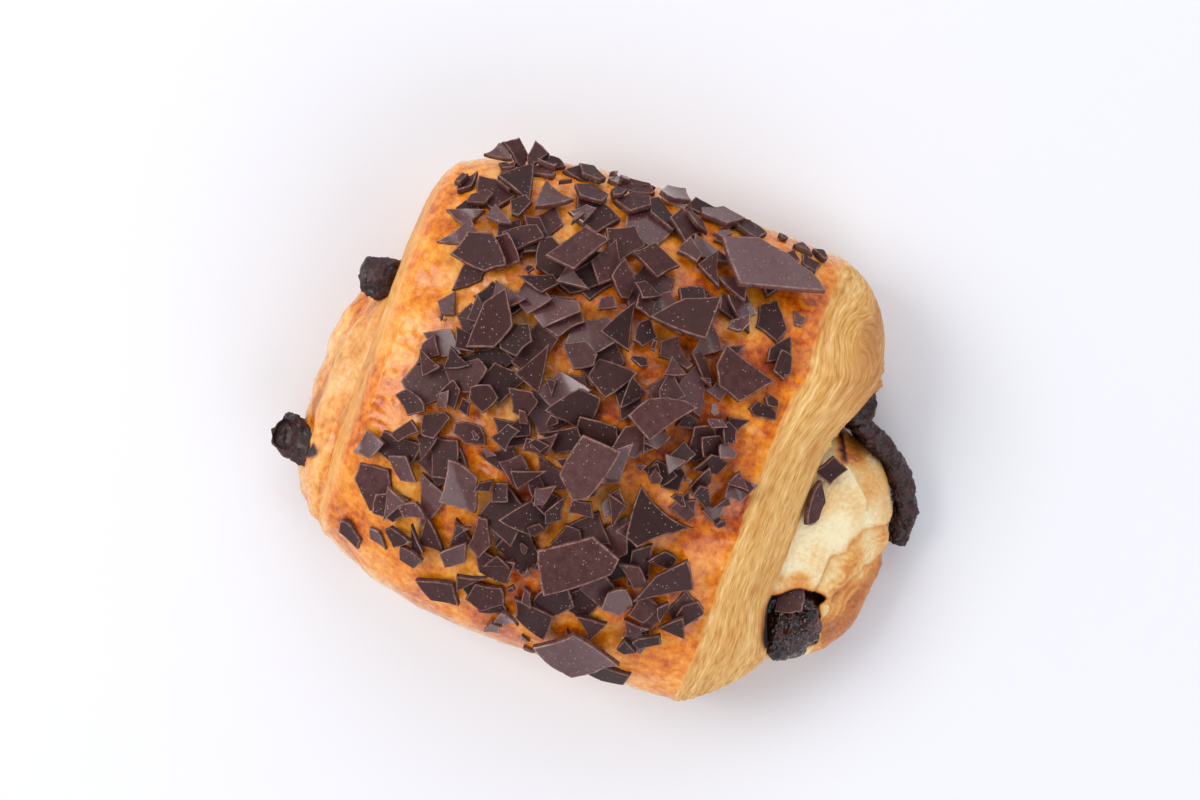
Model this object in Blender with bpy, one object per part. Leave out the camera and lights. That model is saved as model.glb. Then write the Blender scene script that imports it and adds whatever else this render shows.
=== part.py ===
"""Pain au chocolat: laminated dough rolled round two chocolate sticks, baked, glazed and strewn with shards.

Metres, +Z up. +X runs along the roll, the way the two sticks lie, and +Y is its back. The origin is under
the middle of the whole, in the plane of the flat base. The dough is one solid: the sheet that makes the arch,
the inner turn that pokes out at each end, and the small shards that stick to the glaze. The sticks are solids
of their own that run through it, and so are the shards as large as a berry.
"""

import math

import bmesh
import bpy
import numpy as np
from mathutils import Vector

MM = 0.001
FIT = 0.3 * MM  # what keeps two touching solids apart

# The rolled sheet, across and along
HALF_WIDTH, HEIGHT = 45.2 * MM, 42.0 * MM
MIDDLE_Y = 0.7 * MM
WIDEST_AT = 0.36  # share of the height where the sides bulge most
BASE_SHARE = 0.82  # share of the half-width that lies flat on the tray
SIDE_ROUNDNESS, CROWN_ROUNDNESS = 2.25, 2.1  # powers of the arch, 2 for a true ellipse
CROWN_X = -6.0 * MM
LEFT_EDGE, RIGHT_EDGE = -43.0 * MM, 27.0 * MM  # where the glazed skin stops at the cut ends
LEFT_WAIST, RIGHT_WAIST = 0.16, 0.008  # how much narrower the roll is at those edges
LEFT_SHOULDER_X = 5.0 * MM  # where it starts to narrow to the left
LEFT_DROP, RIGHT_DROP = 0.15, 0.085  # and how much lower
BEYOND_EDGE = 1.3  # how far past an edge, in shares of the way there, the skin's formula still holds
LUMP = 0.7 * MM  # unevenness of the proved dough

# The cut ends, from the skin in to the mouth that the inner turn comes out of
SHEET = 13.0 * MM
LEFT_END, RIGHT_END = 5.0 * MM, 11.5 * MM  # how far the innermost layer stands out beyond the skin's edge
FRONT_ROUNDNESS, BACK_ROUNDNESS = 1.6, 2.0  # powers of their outline, 2 for a true ellipse
BACK_KNOB = 5.5 * MM  # the back corner of the right end curls out further
KNOB_FROM_Y, KNOB_TO_Y = 8.0 * MM, 25.0 * MM
FRONT_FOOT = 3.0 * MM  # and so does its front foot, under the hole that the chocolate burst
FOOT_FROM_Y, FOOT_FULL_Y, FOOT_TO_Y = -20.0 * MM, -30.0 * MM, -43.0 * MM
MOUTH_HALF_WIDTH, MOUTH_MIDDLE_Y = 28.0 * MM, -3.0 * MM
MOUTH_SILL, MOUTH_DEPTH = 5.0 * MM, 9.0 * MM
MOUTH_FLOOR = 1.06  # share of its outline there, a little past the mouth's own
LAYER_RINGS, LAYER_STEP = 8, 0.45 * MM

# The inner turn's two ends, as flattened tongues
RIGHT_TONGUE = dict(x=38.0, y=-7.5, reach=18.6, half=23.5, top=27.0, sill=0.0, fall=0.46, folds=1.0, power=2.3)
LEFT_TONGUE = dict(x=-34.5, y=-8.5, reach=21.5, half=30.0, top=29.5, sill=0.5, fall=0.20, folds=0.5, power=2.6)
TONGUE_WAIST_Z = 9.0  # where a tongue reaches furthest out
FOLDS, FOLD_DEPTH = 3, 0.7  # browned layers that show as ridges on a tongue
FOLD_TIP, FOLD_FADE = math.radians(-95), math.radians(15)  # headings where they meet and where they run out
FOLD_BAND = (math.radians(30), math.radians(62))  # how far up they reach at those two

# The chocolate sticks: points along the middle of each, width and thickness, in mm
STICK_WIDTH, STICK_THICK = 8.2 * MM, 6.4 * MM
FRONT_STICK = ((-59.9, -21.0, 13.5), (-50.0, -22.6, 15.5), (34.0, -22.8, 15.0), (41.0, -22.6, 14.5))
BACK_STICK = ((-54.2, 11.8, 21.5), (-40.0, 13.4, 21.0), (34.0, 20.2, 20.0), (45.0, 20.0, 18.0))
STICK_RINGS, SPILL_RINGS = 26, 18
STICK_ROUNDNESS = 3.2  # power of the section, near an oblong
BLUNT_TIP, BLUNT_GAIN = 0.62, 0.36  # share of the full section at the tip, and how much each ring adds
MELT_MIDDLE, MELT_RADII = (43.8, -22.8, 14.0), (6.2, 7.4, 6.6)  # the front stick boiled up at its right end
VENT_MIDDLE, VENT_RADII = (44.0, -22.8, 23.0), (5.8, 7.4, 11.0)  # and burst the dough over it
SPILL = (  # the back stick ran out and set as a ribbon down round the tongue
    (41.5, 18.4, 18.0), (45.4, 16.2, 14.0), (50.6, 13.6, 10.0),
    (55.2, 9.4, 7.5), (58.0, 3.9, 6.0), (58.5, -1.8, 5.0),
)
SPILL_WIDTH, SPILL_THICK = 4.4 * MM, 7.4 * MM

# The shards of couverture: plates snapped from a thin sheet
PLATE = 1.1 * MM
SINK = 0.4 * MM  # how far a shard beds into what it lies on
CELL = 0.5 * MM  # of the map of how high the shards are piled
STEEPEST = 0.5  # slope of a shard against the crust
HIGHEST = 3.0 * MM  # a small shard that would lie higher slid off
FLAT_WAY, STEEP_LOSS = 18.0 * MM, 0.8  # past this way from the crest that falls off, by this share at the foot
FURTHEST_WAY = 53.0 * MM
SHARD_SEED = 11
SMALL_SHARDS = 430
SMALL_LENGTH, LENGTH_SPREAD = 7.6, 0.26  # median length in mm and spread of its logarithm
SHORTEST, LONGEST = 4.2, 11.5  # in mm, cut off there
HEAPS = (  # share of the shards, middle as x and way over the crown, spread along both
    (0.46, -9.0, 6.0, 12.5, 16.0),
    (0.24, -11.0, 36.0, 18.0, 9.0),
    (0.20, -6.0, -26.0, 18.0, 11.0),
    (0.10, -26.0, -6.0, 12.0, 22.0),
)
FORMS = {  # corners of a shard in shares of its length and width, going round it
    "fan": ((-0.45, -0.50), (0.50, -0.50), (0.40, -0.16), (0.20, 0.16), (-0.08, 0.42), (-0.50, 0.36)),
    "slab": ((-0.50, -0.50), (0.35, -0.50), (0.50, -0.23), (0.30, 0.42), (-0.38, 0.50)),
    "wedge": ((-0.50, -0.50), (0.50, -0.48), (0.18, 0.50), (-0.03, 0.50)),
    "kite": ((-0.50, -0.45), (0.50, -0.50), (0.48, 0.50), (-0.08, 0.21)),
    "shield": ((-0.33, -0.50), (0.06, -0.50), (0.50, -0.39), (0.15, 0.50), (-0.50, 0.49), (-0.47, -0.09)),
    "dome": ((-0.23, -0.50), (0.20, -0.50), (0.50, 0.50), (-0.50, 0.47), (-0.45, -0.12)),
    "leaf": ((-0.34, -0.26), (0.06, -0.50), (0.50, 0.11), (0.19, 0.50), (-0.50, 0.47)),
    "lozenge": ((-0.38, -0.50), (0.50, -0.50), (0.41, 0.44), (-0.50, 0.50)),
}
LARGE_SHARDS = (  # middle x and y, length, width, heading in degrees, form; a negative width turns it over
    (16.5, 37.0, 18.4, 13.0, 24, "fan"),
    (1.5, -22.5, 15.4, 8.6, 39, "slab"),
    (12.0, -13.0, 12.7, 9.1, 159, "wedge"),
    (17.0, -21.5, 11.4, 6.2, 30, "kite"),
    (8.0, -38.6, 14.0, 10.0, 48, "shield"),
    (-2.5, -7.0, 12.7, -7.3, 255, "slab"),
    (6.5, 6.5, 11.4, 7.0, 54, "fan"),
    (4.5, 23.5, 10.8, 8.6, -3, "kite"),
    (18.0, 16.5, 11.4, 7.4, -15, "dome"),
    (-32.5, 22.0, 11.3, -6.4, -15, "leaf"),
    (-26.0, 11.0, 12.8, 6.4, 84, "leaf"),
    (-17.0, 27.5, 11.0, 6.0, 63, "lozenge"),
)

FALLEN_SHARDS = (  # two slid into the crease over the right tongue: middle, size, heading, lean, form
    (40.4, 7.2, 25.4, 5.0, 4.0, 60, 12, "lozenge"),
    (39.8, 0.4, 26.6, 8.6, 3.6, 98, 40, "leaf"),
)
MELT_SHARD = (43.0, -19.8, 19.8, 5.6, 4.6, 20, 10, "shield")  # and one landed on the melted blob

RINGS_ALONG = 19
POINTS_OVER, POINTS_UNDER = 34, 8
SHARP = math.radians(35)


def superellipse(angle, power):
    """The point of |a|^power + |b|^power = 1 at this angle."""
    cosine, sine = np.cos(angle), np.sin(angle)
    return (
        np.sign(cosine) * np.abs(cosine) ** (2 / power),
        np.sign(sine) * np.abs(sine) ** (2 / power),
    )


def smoothstep(value):
    held = np.clip(value, 0, 1)
    return held * held * (3 - 2 * held)


def arch():
    """The outline over the roll in half-widths and heights, from the tuck at the back to the front one."""
    over = np.linspace(0, math.pi, 400)
    y = superellipse(over, SIDE_ROUNDNESS)[0]
    z = WIDEST_AT + (1 - WIDEST_AT) * superellipse(over, CROWN_ROUNDNESS)[1]
    quarter = np.linspace(0, math.pi / 2, 60)
    tuck_y = BASE_SHARE + (1 - BASE_SHARE) * np.sin(quarter)
    tuck_z = WIDEST_AT * (1 - np.cos(quarter))
    y = np.concatenate([tuck_y[:-1], y, -tuck_y[-2::-1]])
    z = np.concatenate([tuck_z[:-1], z, tuck_z[-2::-1]])
    return y, z


def way_along(y, z):
    """How far along the full-size outline each of its points is."""
    steps = np.hypot(np.diff(y) * HALF_WIDTH, np.diff(z) * HEIGHT)
    return np.concatenate([[0], np.cumsum(steps)])


def ring_section():
    """A closed ring of points in half-widths and heights: evenly over the arch, then back along the base."""
    y, z = arch()
    way = way_along(y, z)
    at = np.linspace(0, way[-1], POINTS_OVER)
    base = np.linspace(-BASE_SHARE, BASE_SHARE, POINTS_UNDER + 2)[1:-1]
    return np.append(np.interp(at, way, y), base), np.append(np.interp(at, way, z), 0 * base)


def waist(x):
    """The roll's half-width at x as a share of the full one."""
    left = np.clip((LEFT_SHOULDER_X - x) / (LEFT_SHOULDER_X - LEFT_EDGE), 0, BEYOND_EDGE)
    right = np.clip((x - CROWN_X) / (RIGHT_EDGE - CROWN_X), 0, BEYOND_EDGE)
    return 1 - LEFT_WAIST * left**3.6 - RIGHT_WAIST * right**4


def crown(x):
    """The roll's height at x as a share of the full one."""
    left = np.clip((CROWN_X - x) / (CROWN_X - LEFT_EDGE), 0, BEYOND_EDGE)
    right = np.clip((x - CROWN_X) / (RIGHT_EDGE - CROWN_X), 0, BEYOND_EDGE)
    return 1 - LEFT_DROP * left**2.2 - RIGHT_DROP * right**2.2


def lumps(x, y):
    """A slow unevenness of the top: two crossed waves."""
    return LUMP * (
        np.sin(x / (9.5 * MM) + 0.6) * np.cos(y / (13.0 * MM))
        + 0.6 * np.sin(x / (17.0 * MM) - y / (8.0 * MM) + 2.0)
    )


def skin_ring(x, y_unit, z_unit):
    """One ring of the glazed skin at x."""
    y = MIDDLE_Y + HALF_WIDTH * waist(x) * y_unit
    z = HEIGHT * crown(x) * z_unit + lumps(x, y) * z_unit**2
    return np.stack([np.full_like(y, x), y, z], axis=1)


def corner_reach(y):
    """How much further the right end's back and front corners stand out, by y."""
    knob = smoothstep((y - KNOB_FROM_Y) / (KNOB_TO_Y - KNOB_FROM_Y))
    rise = smoothstep((FOOT_FROM_Y - y) / (FOOT_FROM_Y - FOOT_FULL_Y))
    fade = smoothstep((y - FOOT_TO_Y) / (FOOT_FULL_Y - FOOT_TO_Y))
    return BACK_KNOB * knob + FRONT_FOOT * rise * fade


def end_ring(edge, outward, reach, share, y_unit, z_unit, step=0.0):
    """One ring of a cut end: share 0 is the skin's edge, 1 the mouth, and step sets layers proud in turn."""
    half = HALF_WIDTH * waist(edge) * (1 - share) + MOUTH_HALF_WIDTH * share
    y = MIDDLE_Y * (1 - share) + MOUTH_MIDDLE_Y * share + half * y_unit
    sill, top = MOUTH_SILL * share, HEIGHT * crown(edge) - SHEET * share
    z = sill + (top - sill) * z_unit + lumps(edge, y) * z_unit**2 * (1 - share)
    power = FRONT_ROUNDNESS + (BACK_ROUNDNESS - FRONT_ROUNDNESS) * smoothstep(y / KNOB_TO_Y)
    bulge = (1 - (1 - min(share, 1.0)) ** power) ** (1 / power)
    x = edge + outward * (bulge * (reach + corner_reach(y) * (outward > 0)) + step)
    return np.stack([x, y, z], axis=1)


def to_object(name, mesh, material):
    """A bmesh as an object in the pastry's collection, with its faces turned out."""
    bmesh.ops.recalc_face_normals(mesh, faces=mesh.faces[:])
    data = bpy.data.meshes.new(name)
    mesh.to_mesh(data)
    mesh.free()
    data.materials.append(material)
    obj = bpy.data.objects.new(name, data)
    parts.objects.link(obj)
    return obj


def loft(name, rings, material):
    """A closed solid through rings of equal count, with flat ends."""
    mesh = bmesh.new()
    rows = [[mesh.verts.new(Vector(point)) for point in ring] for ring in rings]
    for row, after in zip(rows, rows[1:]):
        for i, j in zip(range(len(row)), [*range(1, len(row)), 0]):
            mesh.faces.new((row[i], row[j], after[j], after[i]))
    mesh.faces.new(rows[0][::-1])
    mesh.faces.new(rows[-1])
    return to_object(name, mesh, material)


def rolled_sheet(material):
    """The outer turn: the glazed arch with its flat base, its two layered cut ends and the mouth in each."""
    y_unit, z_unit = ring_section()
    shares = np.linspace(0, 1, LAYER_RINGS)[1:]
    steps = [LAYER_STEP * (-1) ** k for k in range(len(shares))]

    def cut_end(edge, outward, reach):
        layers = zip(shares, steps)
        rings = [end_ring(edge, outward, reach, share, y_unit, z_unit, step) for share, step in layers]
        return [*rings, end_ring(edge, outward, reach - MOUTH_DEPTH, MOUTH_FLOOR, y_unit, z_unit)]

    skin = [skin_ring(x, y_unit, z_unit) for x in np.linspace(LEFT_EDGE, RIGHT_EDGE, RINGS_ALONG)]
    left, right = cut_end(LEFT_EDGE, -1, LEFT_END), cut_end(RIGHT_EDGE, 1, RIGHT_END)
    return loft("pastry", [*left[::-1], *skin, *right], material)


def ball(rings=14, segments=32):
    mesh = bmesh.new()
    bmesh.ops.create_uvsphere(mesh, u_segments=segments, v_segments=rings, radius=1.0)
    return mesh


def tongue(name, place, outward, material):
    """The inner turn that pokes out at an end: a ball drawn into a superellipsoid that falls away outward."""
    mesh = ball(rings=22, segments=44)
    for vertex in mesh.verts:
        rise = np.arctan2(vertex.co.z, math.hypot(vertex.co.x, vertex.co.y))
        heading = np.arctan2(vertex.co.y, outward * vertex.co.x)
        out, up = superellipse(rise, place["power"])
        across, over = superellipse(heading, place["power"])
        fall = 1 - place["fall"] * max(out * across, 0) ** 1.5
        height = (place["top"] - TONGUE_WAIST_Z) * fall if up > 0 else TONGUE_WAIST_Z - place["sill"]
        fold = folds(rise, heading) * place["folds"]
        x = (place["reach"] + fold) * out * across * outward
        y = (place["half"] + fold) * out * over
        vertex.co = Vector((place["x"] + x, place["y"] + y, TONGUE_WAIST_Z + up * (height + fold))) * MM
    return to_object(name, mesh, material)


def folds(rise, heading):
    """The browned layers on a tongue: ridges that spread from its front tip to its outer side, in mm."""
    spread = smoothstep((heading - FOLD_TIP) / (FOLD_FADE - FOLD_TIP))
    band = FOLD_BAND[0] + (FOLD_BAND[1] - FOLD_BAND[0]) * spread
    inside = smoothstep(4 * (1 - rise / band)) * smoothstep((rise + 0.2) / 0.2)
    beside = smoothstep((heading - FOLD_TIP + 0.3) / 0.3) * smoothstep((FOLD_FADE + 0.5 - heading) / 0.5)
    return FOLD_DEPTH * math.sin(2 * math.pi * FOLDS * rise / band) * inside * beside


def smooth_route(points, count):
    """A smooth path through a few points (cubic Hermite pieces), read at equal shares of its length."""
    at = np.array(points) * MM
    way = np.concatenate([[0], np.cumsum(np.linalg.norm(np.diff(at, axis=0), axis=1))])
    slope = np.gradient(at, way, axis=0)
    where = np.linspace(0, way[-1], count)
    k = np.clip(np.searchsorted(way, where, side="right") - 1, 0, len(at) - 2)
    gap = (way[k + 1] - way[k])[:, None]
    t = (where - way[k])[:, None] / gap
    return (
        (1 + 2 * t) * (1 - t) ** 2 * at[k]
        + t * (1 - t) ** 2 * gap * slope[k]
        + t**2 * (3 - 2 * t) * at[k + 1]
        + t**2 * (t - 1) * gap * slope[k + 1]
    )


def chocolate_bar(name, route, width, thick, count, material, grow):
    """Chocolate along a route: a rounded oblong that swells and shrinks unevenly, with blunt ends."""
    path = smooth_route(route, count)
    heading = np.gradient(path, axis=0)
    heading /= np.linalg.norm(heading, axis=1)[:, None]
    aside = np.cross([0, 0, 1], heading)
    aside /= np.linalg.norm(aside, axis=1)[:, None]
    upward = np.cross(heading, aside)
    path[0] -= grow * heading[0]
    path[-1] += grow * heading[-1]
    k = np.arange(count)
    blunt = np.minimum(1.0, BLUNT_TIP + BLUNT_GAIN * np.minimum(k, count - 1 - k))
    swell = blunt * (1 + 0.07 * np.sin(4.1 * k) + 0.05 * np.sin(2.3 * k + 1))
    across, up = superellipse(np.linspace(0, 2 * math.pi, 14, endpoint=False), STICK_ROUNDNESS)
    rings = [
        middle + np.outer(across * (width / 2 * s + grow), a) + np.outer(up * (thick / 2 * s + grow), u)
        for middle, s, a, u in zip(path, swell, aside, upward)
    ]
    return loft(name, rings, material)


def blob(name, middle, radii, material):
    mesh = ball(rings=10, segments=18)
    for vertex in mesh.verts:
        vertex.co = Vector([m + r * c for m, r, c in zip(middle, radii, vertex.co)]) * MM
    return to_object(name, mesh, material)


def front_stick(name, material, grow=0.0):
    """The front stick, boiled up into a blob where it shows at the right end."""
    stick = chocolate_bar(name, FRONT_STICK, STICK_WIDTH, STICK_THICK, STICK_RINGS, material, grow)
    radii = [radius + grow / MM for radius in MELT_RADII]
    melt = [blob("melt", MELT_MIDDLE, radii, material), fallen_shard(MELT_SHARD, material, grow)]
    combine(stick, melt, "UNION")
    return stick


def back_stick(name, material, grow=0.0):
    """The back stick and the ribbon that ran out of it, down the tongue's side to the tray."""
    stick = chocolate_bar(name, BACK_STICK, STICK_WIDTH, STICK_THICK, STICK_RINGS, material, grow)
    ribbon = chocolate_bar("spill", SPILL, SPILL_WIDTH, SPILL_THICK, SPILL_RINGS, material, grow)
    combine(stick, [ribbon], "UNION")
    return stick


def combine(target, others, operation):
    """Joins the others to the target, or cuts them from it, and removes them."""
    group = bpy.data.collections.new("tools")
    bpy.context.scene.collection.children.link(group)
    for other in others:
        parts.objects.unlink(other)
        group.objects.link(other)
    boolean = target.modifiers.new("combine", "BOOLEAN")
    boolean.operation = operation
    boolean.operand_type = "COLLECTION"
    boolean.collection = group
    boolean.solver = "MANIFOLD" if len(others) > 2 else "EXACT"
    graph = bpy.context.evaluated_depsgraph_get()
    result = bpy.data.meshes.new_from_object(target.evaluated_get(graph))
    target.modifiers.clear()
    target.data = result
    for other in others:
        bpy.data.objects.remove(other)
    bpy.data.collections.remove(group)


def keep_largest_body(obj):
    """Drops the loose scraps that a Boolean leaves, such as shards that lay only on a large one."""
    mesh = bmesh.new()
    mesh.from_mesh(obj.data)
    unseen, bodies = set(mesh.verts), []
    while unseen:
        body, edge = [], [unseen.pop()]
        while edge:
            vertex = edge.pop()
            body.append(vertex)
            for link in vertex.link_edges:
                other = link.other_vert(vertex)
                if other in unseen:
                    unseen.discard(other)
                    edge.append(other)
        bodies.append(body)
    bodies.sort(key=len)
    bmesh.ops.delete(mesh, geom=[vertex for body in bodies[:-1] for vertex in body], context="VERTS")
    mesh.to_mesh(obj.data)
    mesh.free()


class Crust:
    """The glazed skin as a map by x and the way over the crown, with how high the shards are piled on it."""

    def __init__(self):
        self.y, self.z = arch()
        way = way_along(self.y, self.z)
        self.way = way - way[-1] / 2
        self.xs = np.arange(LEFT_EDGE - 10 * MM, RIGHT_EDGE + 20 * MM, CELL)
        self.ways = np.arange(self.way[0], self.way[-1], CELL)
        self.pile = np.zeros((len(self.xs), len(self.ways)))

    def point(self, x, way):
        """Way grows to the back, and the outline starts there, so it is read the other way round."""
        y_unit, z_unit = np.interp(-way, self.way, self.y), np.interp(-way, self.way, self.z)
        return Vector(skin_ring(x, np.array([y_unit]), np.array([z_unit]))[0])

    def frame(self, x, way):
        """The point, and the directions along the roll, over the crown and outward."""
        at = self.point(x, way)
        along = (self.point(x + MM, way) - self.point(x - MM, way)).normalized()
        over = (self.point(x, way + MM) - self.point(x, way - MM)).normalized()
        outward = along.cross(over).normalized()
        return at, along, outward.cross(along), outward

    def way_at(self, x, y):
        """The way over the crown at which the crust stands over (x, y)."""
        ways = np.linspace(-FURTHEST_WAY - 5 * MM, FURTHEST_WAY + 5 * MM, 400)
        return float(np.interp(y, [self.point(x, way).y for way in ways], ways))

    def lay(self, x, way, outline, highest, clear=0.0):
        """Rests a shard: its plane follows the pile under it, lifted until it lies on the highest point."""
        rows = np.flatnonzero(np.abs(self.xs - x) < np.abs(outline).max() + 2 * CELL)
        columns = np.flatnonzero(np.abs(self.ways - way) < np.abs(outline).max() + 2 * CELL)
        dx, dway = np.meshgrid(self.xs[rows] - x, self.ways[columns] - way, indexing="ij")
        inside = np.ones_like(dx, bool)
        wide = grown(outline, CELL)
        for a, b in zip(wide, np.roll(wide, -1, axis=0)):
            inside &= (b[0] - a[0]) * (dway - a[1]) - (b[1] - a[1]) * (dx - a[0]) >= 0
        patch = self.pile[np.ix_(rows, columns)]
        under = patch[inside]
        places = np.stack([np.ones(inside.sum()), dx[inside], dway[inside]], axis=1)
        plane = np.linalg.lstsq(places, under, rcond=None)[0]
        plane[1:] = np.clip(plane[1:], -STEEPEST, STEEPEST)
        plane[0] += (under - places @ plane).max() - SINK
        if plane[0] > highest:
            return None
        patch[inside] = np.maximum(under, places @ plane + PLATE + clear)
        self.pile[np.ix_(rows, columns)] = patch
        return plane


def grown(outline, by):
    """An outline that goes round to the left, with each side moved out."""
    side = np.roll(outline, -1, axis=0) - outline
    out = np.stack([side[:, 1], -side[:, 0]], axis=1) / np.linalg.norm(side, axis=1)[:, None]
    before = np.roll(out, 1, axis=0)
    return outline + by * (out + before) / (1 + (out * before).sum(axis=1))[:, None]


def turned(outline, degrees):
    turn = math.radians(degrees)
    return outline @ np.array([[math.cos(turn), math.sin(turn)], [-math.sin(turn), math.cos(turn)]])


def large_outline(length, width, form):
    corners = np.array(FORMS[form]) * (length * MM, width * MM)
    return corners if width > 0 else corners[::-1]


def chance_outline(random):
    """Three to five corners at uneven turns round an ellipse."""
    count = random.choice((3, 4, 4, 5))
    length = np.clip(random.lognormal(math.log(SMALL_LENGTH), LENGTH_SPREAD), SHORTEST, LONGEST) * MM
    width = length * random.uniform(0.55, 0.9)
    turn = (np.arange(count) + random.uniform(-0.34, 0.34, count)) * 2 * math.pi / count
    corners = np.stack([np.cos(turn) * length, np.sin(turn) * width], axis=1) / 2
    return turned(corners, random.uniform(0, 360))


def strewn(random):
    """Where a shard fell, as x and the way over the crown."""
    heap = HEAPS[random.choice(len(HEAPS), p=[share for share, *_ in HEAPS])]
    return (heap[1] + heap[3] * random.normal()) * MM, (heap[2] + heap[4] * random.normal()) * MM


def lay_small_shards(crust):
    """The small shards that stayed on the crust, largest first, as (frame, plane, outline)."""
    random = np.random.default_rng(SHARD_SEED)
    fallen = [(chance_outline(random), *strewn(random)) for _ in range(SMALL_SHARDS)]
    fallen.sort(key=lambda shard: -np.ptp(shard[0], axis=0).prod())
    laid = []
    for outline, x, way in fallen:
        along, over = 0.8 * np.abs(outline).max(axis=0)
        if x - along < LEFT_EDGE or x + along > RIGHT_EDGE or abs(way) + over > FURTHEST_WAY:
            continue
        steep = smoothstep((abs(way) - FLAT_WAY) / (FURTHEST_WAY - FLAT_WAY))
        plane = crust.lay(x, way, outline, HIGHEST * (1 - STEEP_LOSS * steep))
        if plane is not None:
            laid.append((crust.frame(x, way), plane, outline))
    return laid


def lay_large_shards(crust):
    """The large shards, on top of the small ones, as (frame, plane, outline)."""
    laid = []
    for x, y, length, width, heading, form in LARGE_SHARDS:
        outline, way = turned(large_outline(length, width, form), heading), crust.way_at(x * MM, y * MM)
        plane = crust.lay(x * MM, way, outline, 2 * HIGHEST, clear=SINK + FIT)
        laid.append((crust.frame(x * MM, way), plane, outline))
    return laid


def plate(name, frame, plane, outline, material, grow=0.0):
    """A flat shard as a prism that stands on its plane over the crust."""
    at, along, over, outward = frame
    rim = grown(outline, grow)

    def row(height):
        lifts = plane[0] + rim @ plane[1:] + height
        corners = zip(rim[:, 0], rim[:, 1], lifts)
        return [mesh.verts.new(at + along * dx + over * dway + outward * lift) for dx, dway, lift in corners]

    mesh = bmesh.new()
    under, top = row(-grow), row(PLATE + grow)
    mesh.faces.new(under[::-1])
    mesh.faces.new(top)
    for i, j in zip(range(len(top)), [*range(1, len(top)), 0]):
        mesh.faces.new((under[i], under[j], top[j], top[i]))
    return to_object(name, mesh, material)


def fallen_shard(shard, material, grow=0.0):
    """A small shard at a place of its own, turned about the upright and then leant over its long side."""
    x, y, z, length, width, heading, lean, form = shard
    turn, lean = math.radians(heading), math.radians(lean)
    along = Vector((math.cos(turn), math.sin(turn), 0))
    over = Vector((-math.sin(turn) * math.cos(lean), math.cos(turn) * math.cos(lean), math.sin(lean)))
    frame = Vector((x, y, z)) * MM, along, over, along.cross(over)
    return plate("fallen_shard", frame, np.zeros(3), large_outline(length, width, form), material, grow)


def finish(name, colour, roughness):
    material = bpy.data.materials.new(name)
    material.use_nodes = True
    shader = material.node_tree.nodes["Principled BSDF"]
    shader.inputs["Base Color"].default_value = (*colour, 1)
    shader.inputs["Roughness"].default_value = roughness
    return material


for leftover in list(bpy.data.objects):
    bpy.data.objects.remove(leftover)
parts = bpy.data.collections.new("pain_au_chocolat")
bpy.context.scene.collection.children.link(parts)

crust_finish = finish("baked_dough", (0.60, 0.27, 0.07), 0.4)
baked_chocolate = finish("baked_chocolate", (0.045, 0.022, 0.015), 0.5)
couverture = finish("couverture", (0.09, 0.045, 0.035), 0.35)

pastry = rolled_sheet(crust_finish)
tongues = [
    tongue("right_tongue", RIGHT_TONGUE, 1, crust_finish),
    tongue("left_tongue", LEFT_TONGUE, -1, crust_finish),
]
combine(pastry, tongues, "UNION")

crust = Crust()
small = lay_small_shards(crust)
large = lay_large_shards(crust)
fused = [plate("shard", *shard, couverture) for shard in small]
fused += [fallen_shard(shard, couverture) for shard in FALLEN_SHARDS]
combine(pastry, fused, "UNION")

room = [plate("room", *shard, couverture, FIT) for shard in large]
room.append(front_stick("front_room", crust_finish, FIT))
room.append(back_stick("back_room", crust_finish, FIT))
room.append(blob("vent", VENT_MIDDLE, VENT_RADII, crust_finish))
combine(pastry, room, "DIFFERENCE")
keep_largest_body(pastry)

front_stick("stick_front", baked_chocolate)
back_stick("stick_back", baked_chocolate)
for k, shard in enumerate(large, start=1):
    plate(f"shard_{k:02d}", *shard, couverture)
for obj in parts.objects:
    obj.data.shade_smooth()
    obj.data.set_sharp_from_angle(angle=SHARP)
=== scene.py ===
"""Pain au chocolat: the looks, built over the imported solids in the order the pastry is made.

Metres, +Z up, +X along the roll towards the end with the melted ribbon, +Y to the roll's back.
"""

import math

import bmesh
import bpy
import numpy as np
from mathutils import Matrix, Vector


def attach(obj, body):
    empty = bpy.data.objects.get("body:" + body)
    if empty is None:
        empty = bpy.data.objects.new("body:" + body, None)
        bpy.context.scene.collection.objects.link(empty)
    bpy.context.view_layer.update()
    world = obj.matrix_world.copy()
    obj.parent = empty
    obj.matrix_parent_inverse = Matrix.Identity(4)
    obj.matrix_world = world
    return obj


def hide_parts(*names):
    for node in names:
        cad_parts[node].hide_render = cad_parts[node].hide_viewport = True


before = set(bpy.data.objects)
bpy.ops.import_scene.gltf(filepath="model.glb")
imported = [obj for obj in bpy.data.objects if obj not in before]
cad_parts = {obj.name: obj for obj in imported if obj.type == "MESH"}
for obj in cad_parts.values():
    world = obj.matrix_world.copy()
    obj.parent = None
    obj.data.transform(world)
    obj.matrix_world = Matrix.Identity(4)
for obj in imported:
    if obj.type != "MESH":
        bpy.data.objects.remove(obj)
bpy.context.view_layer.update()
MM = 0.001

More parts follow.
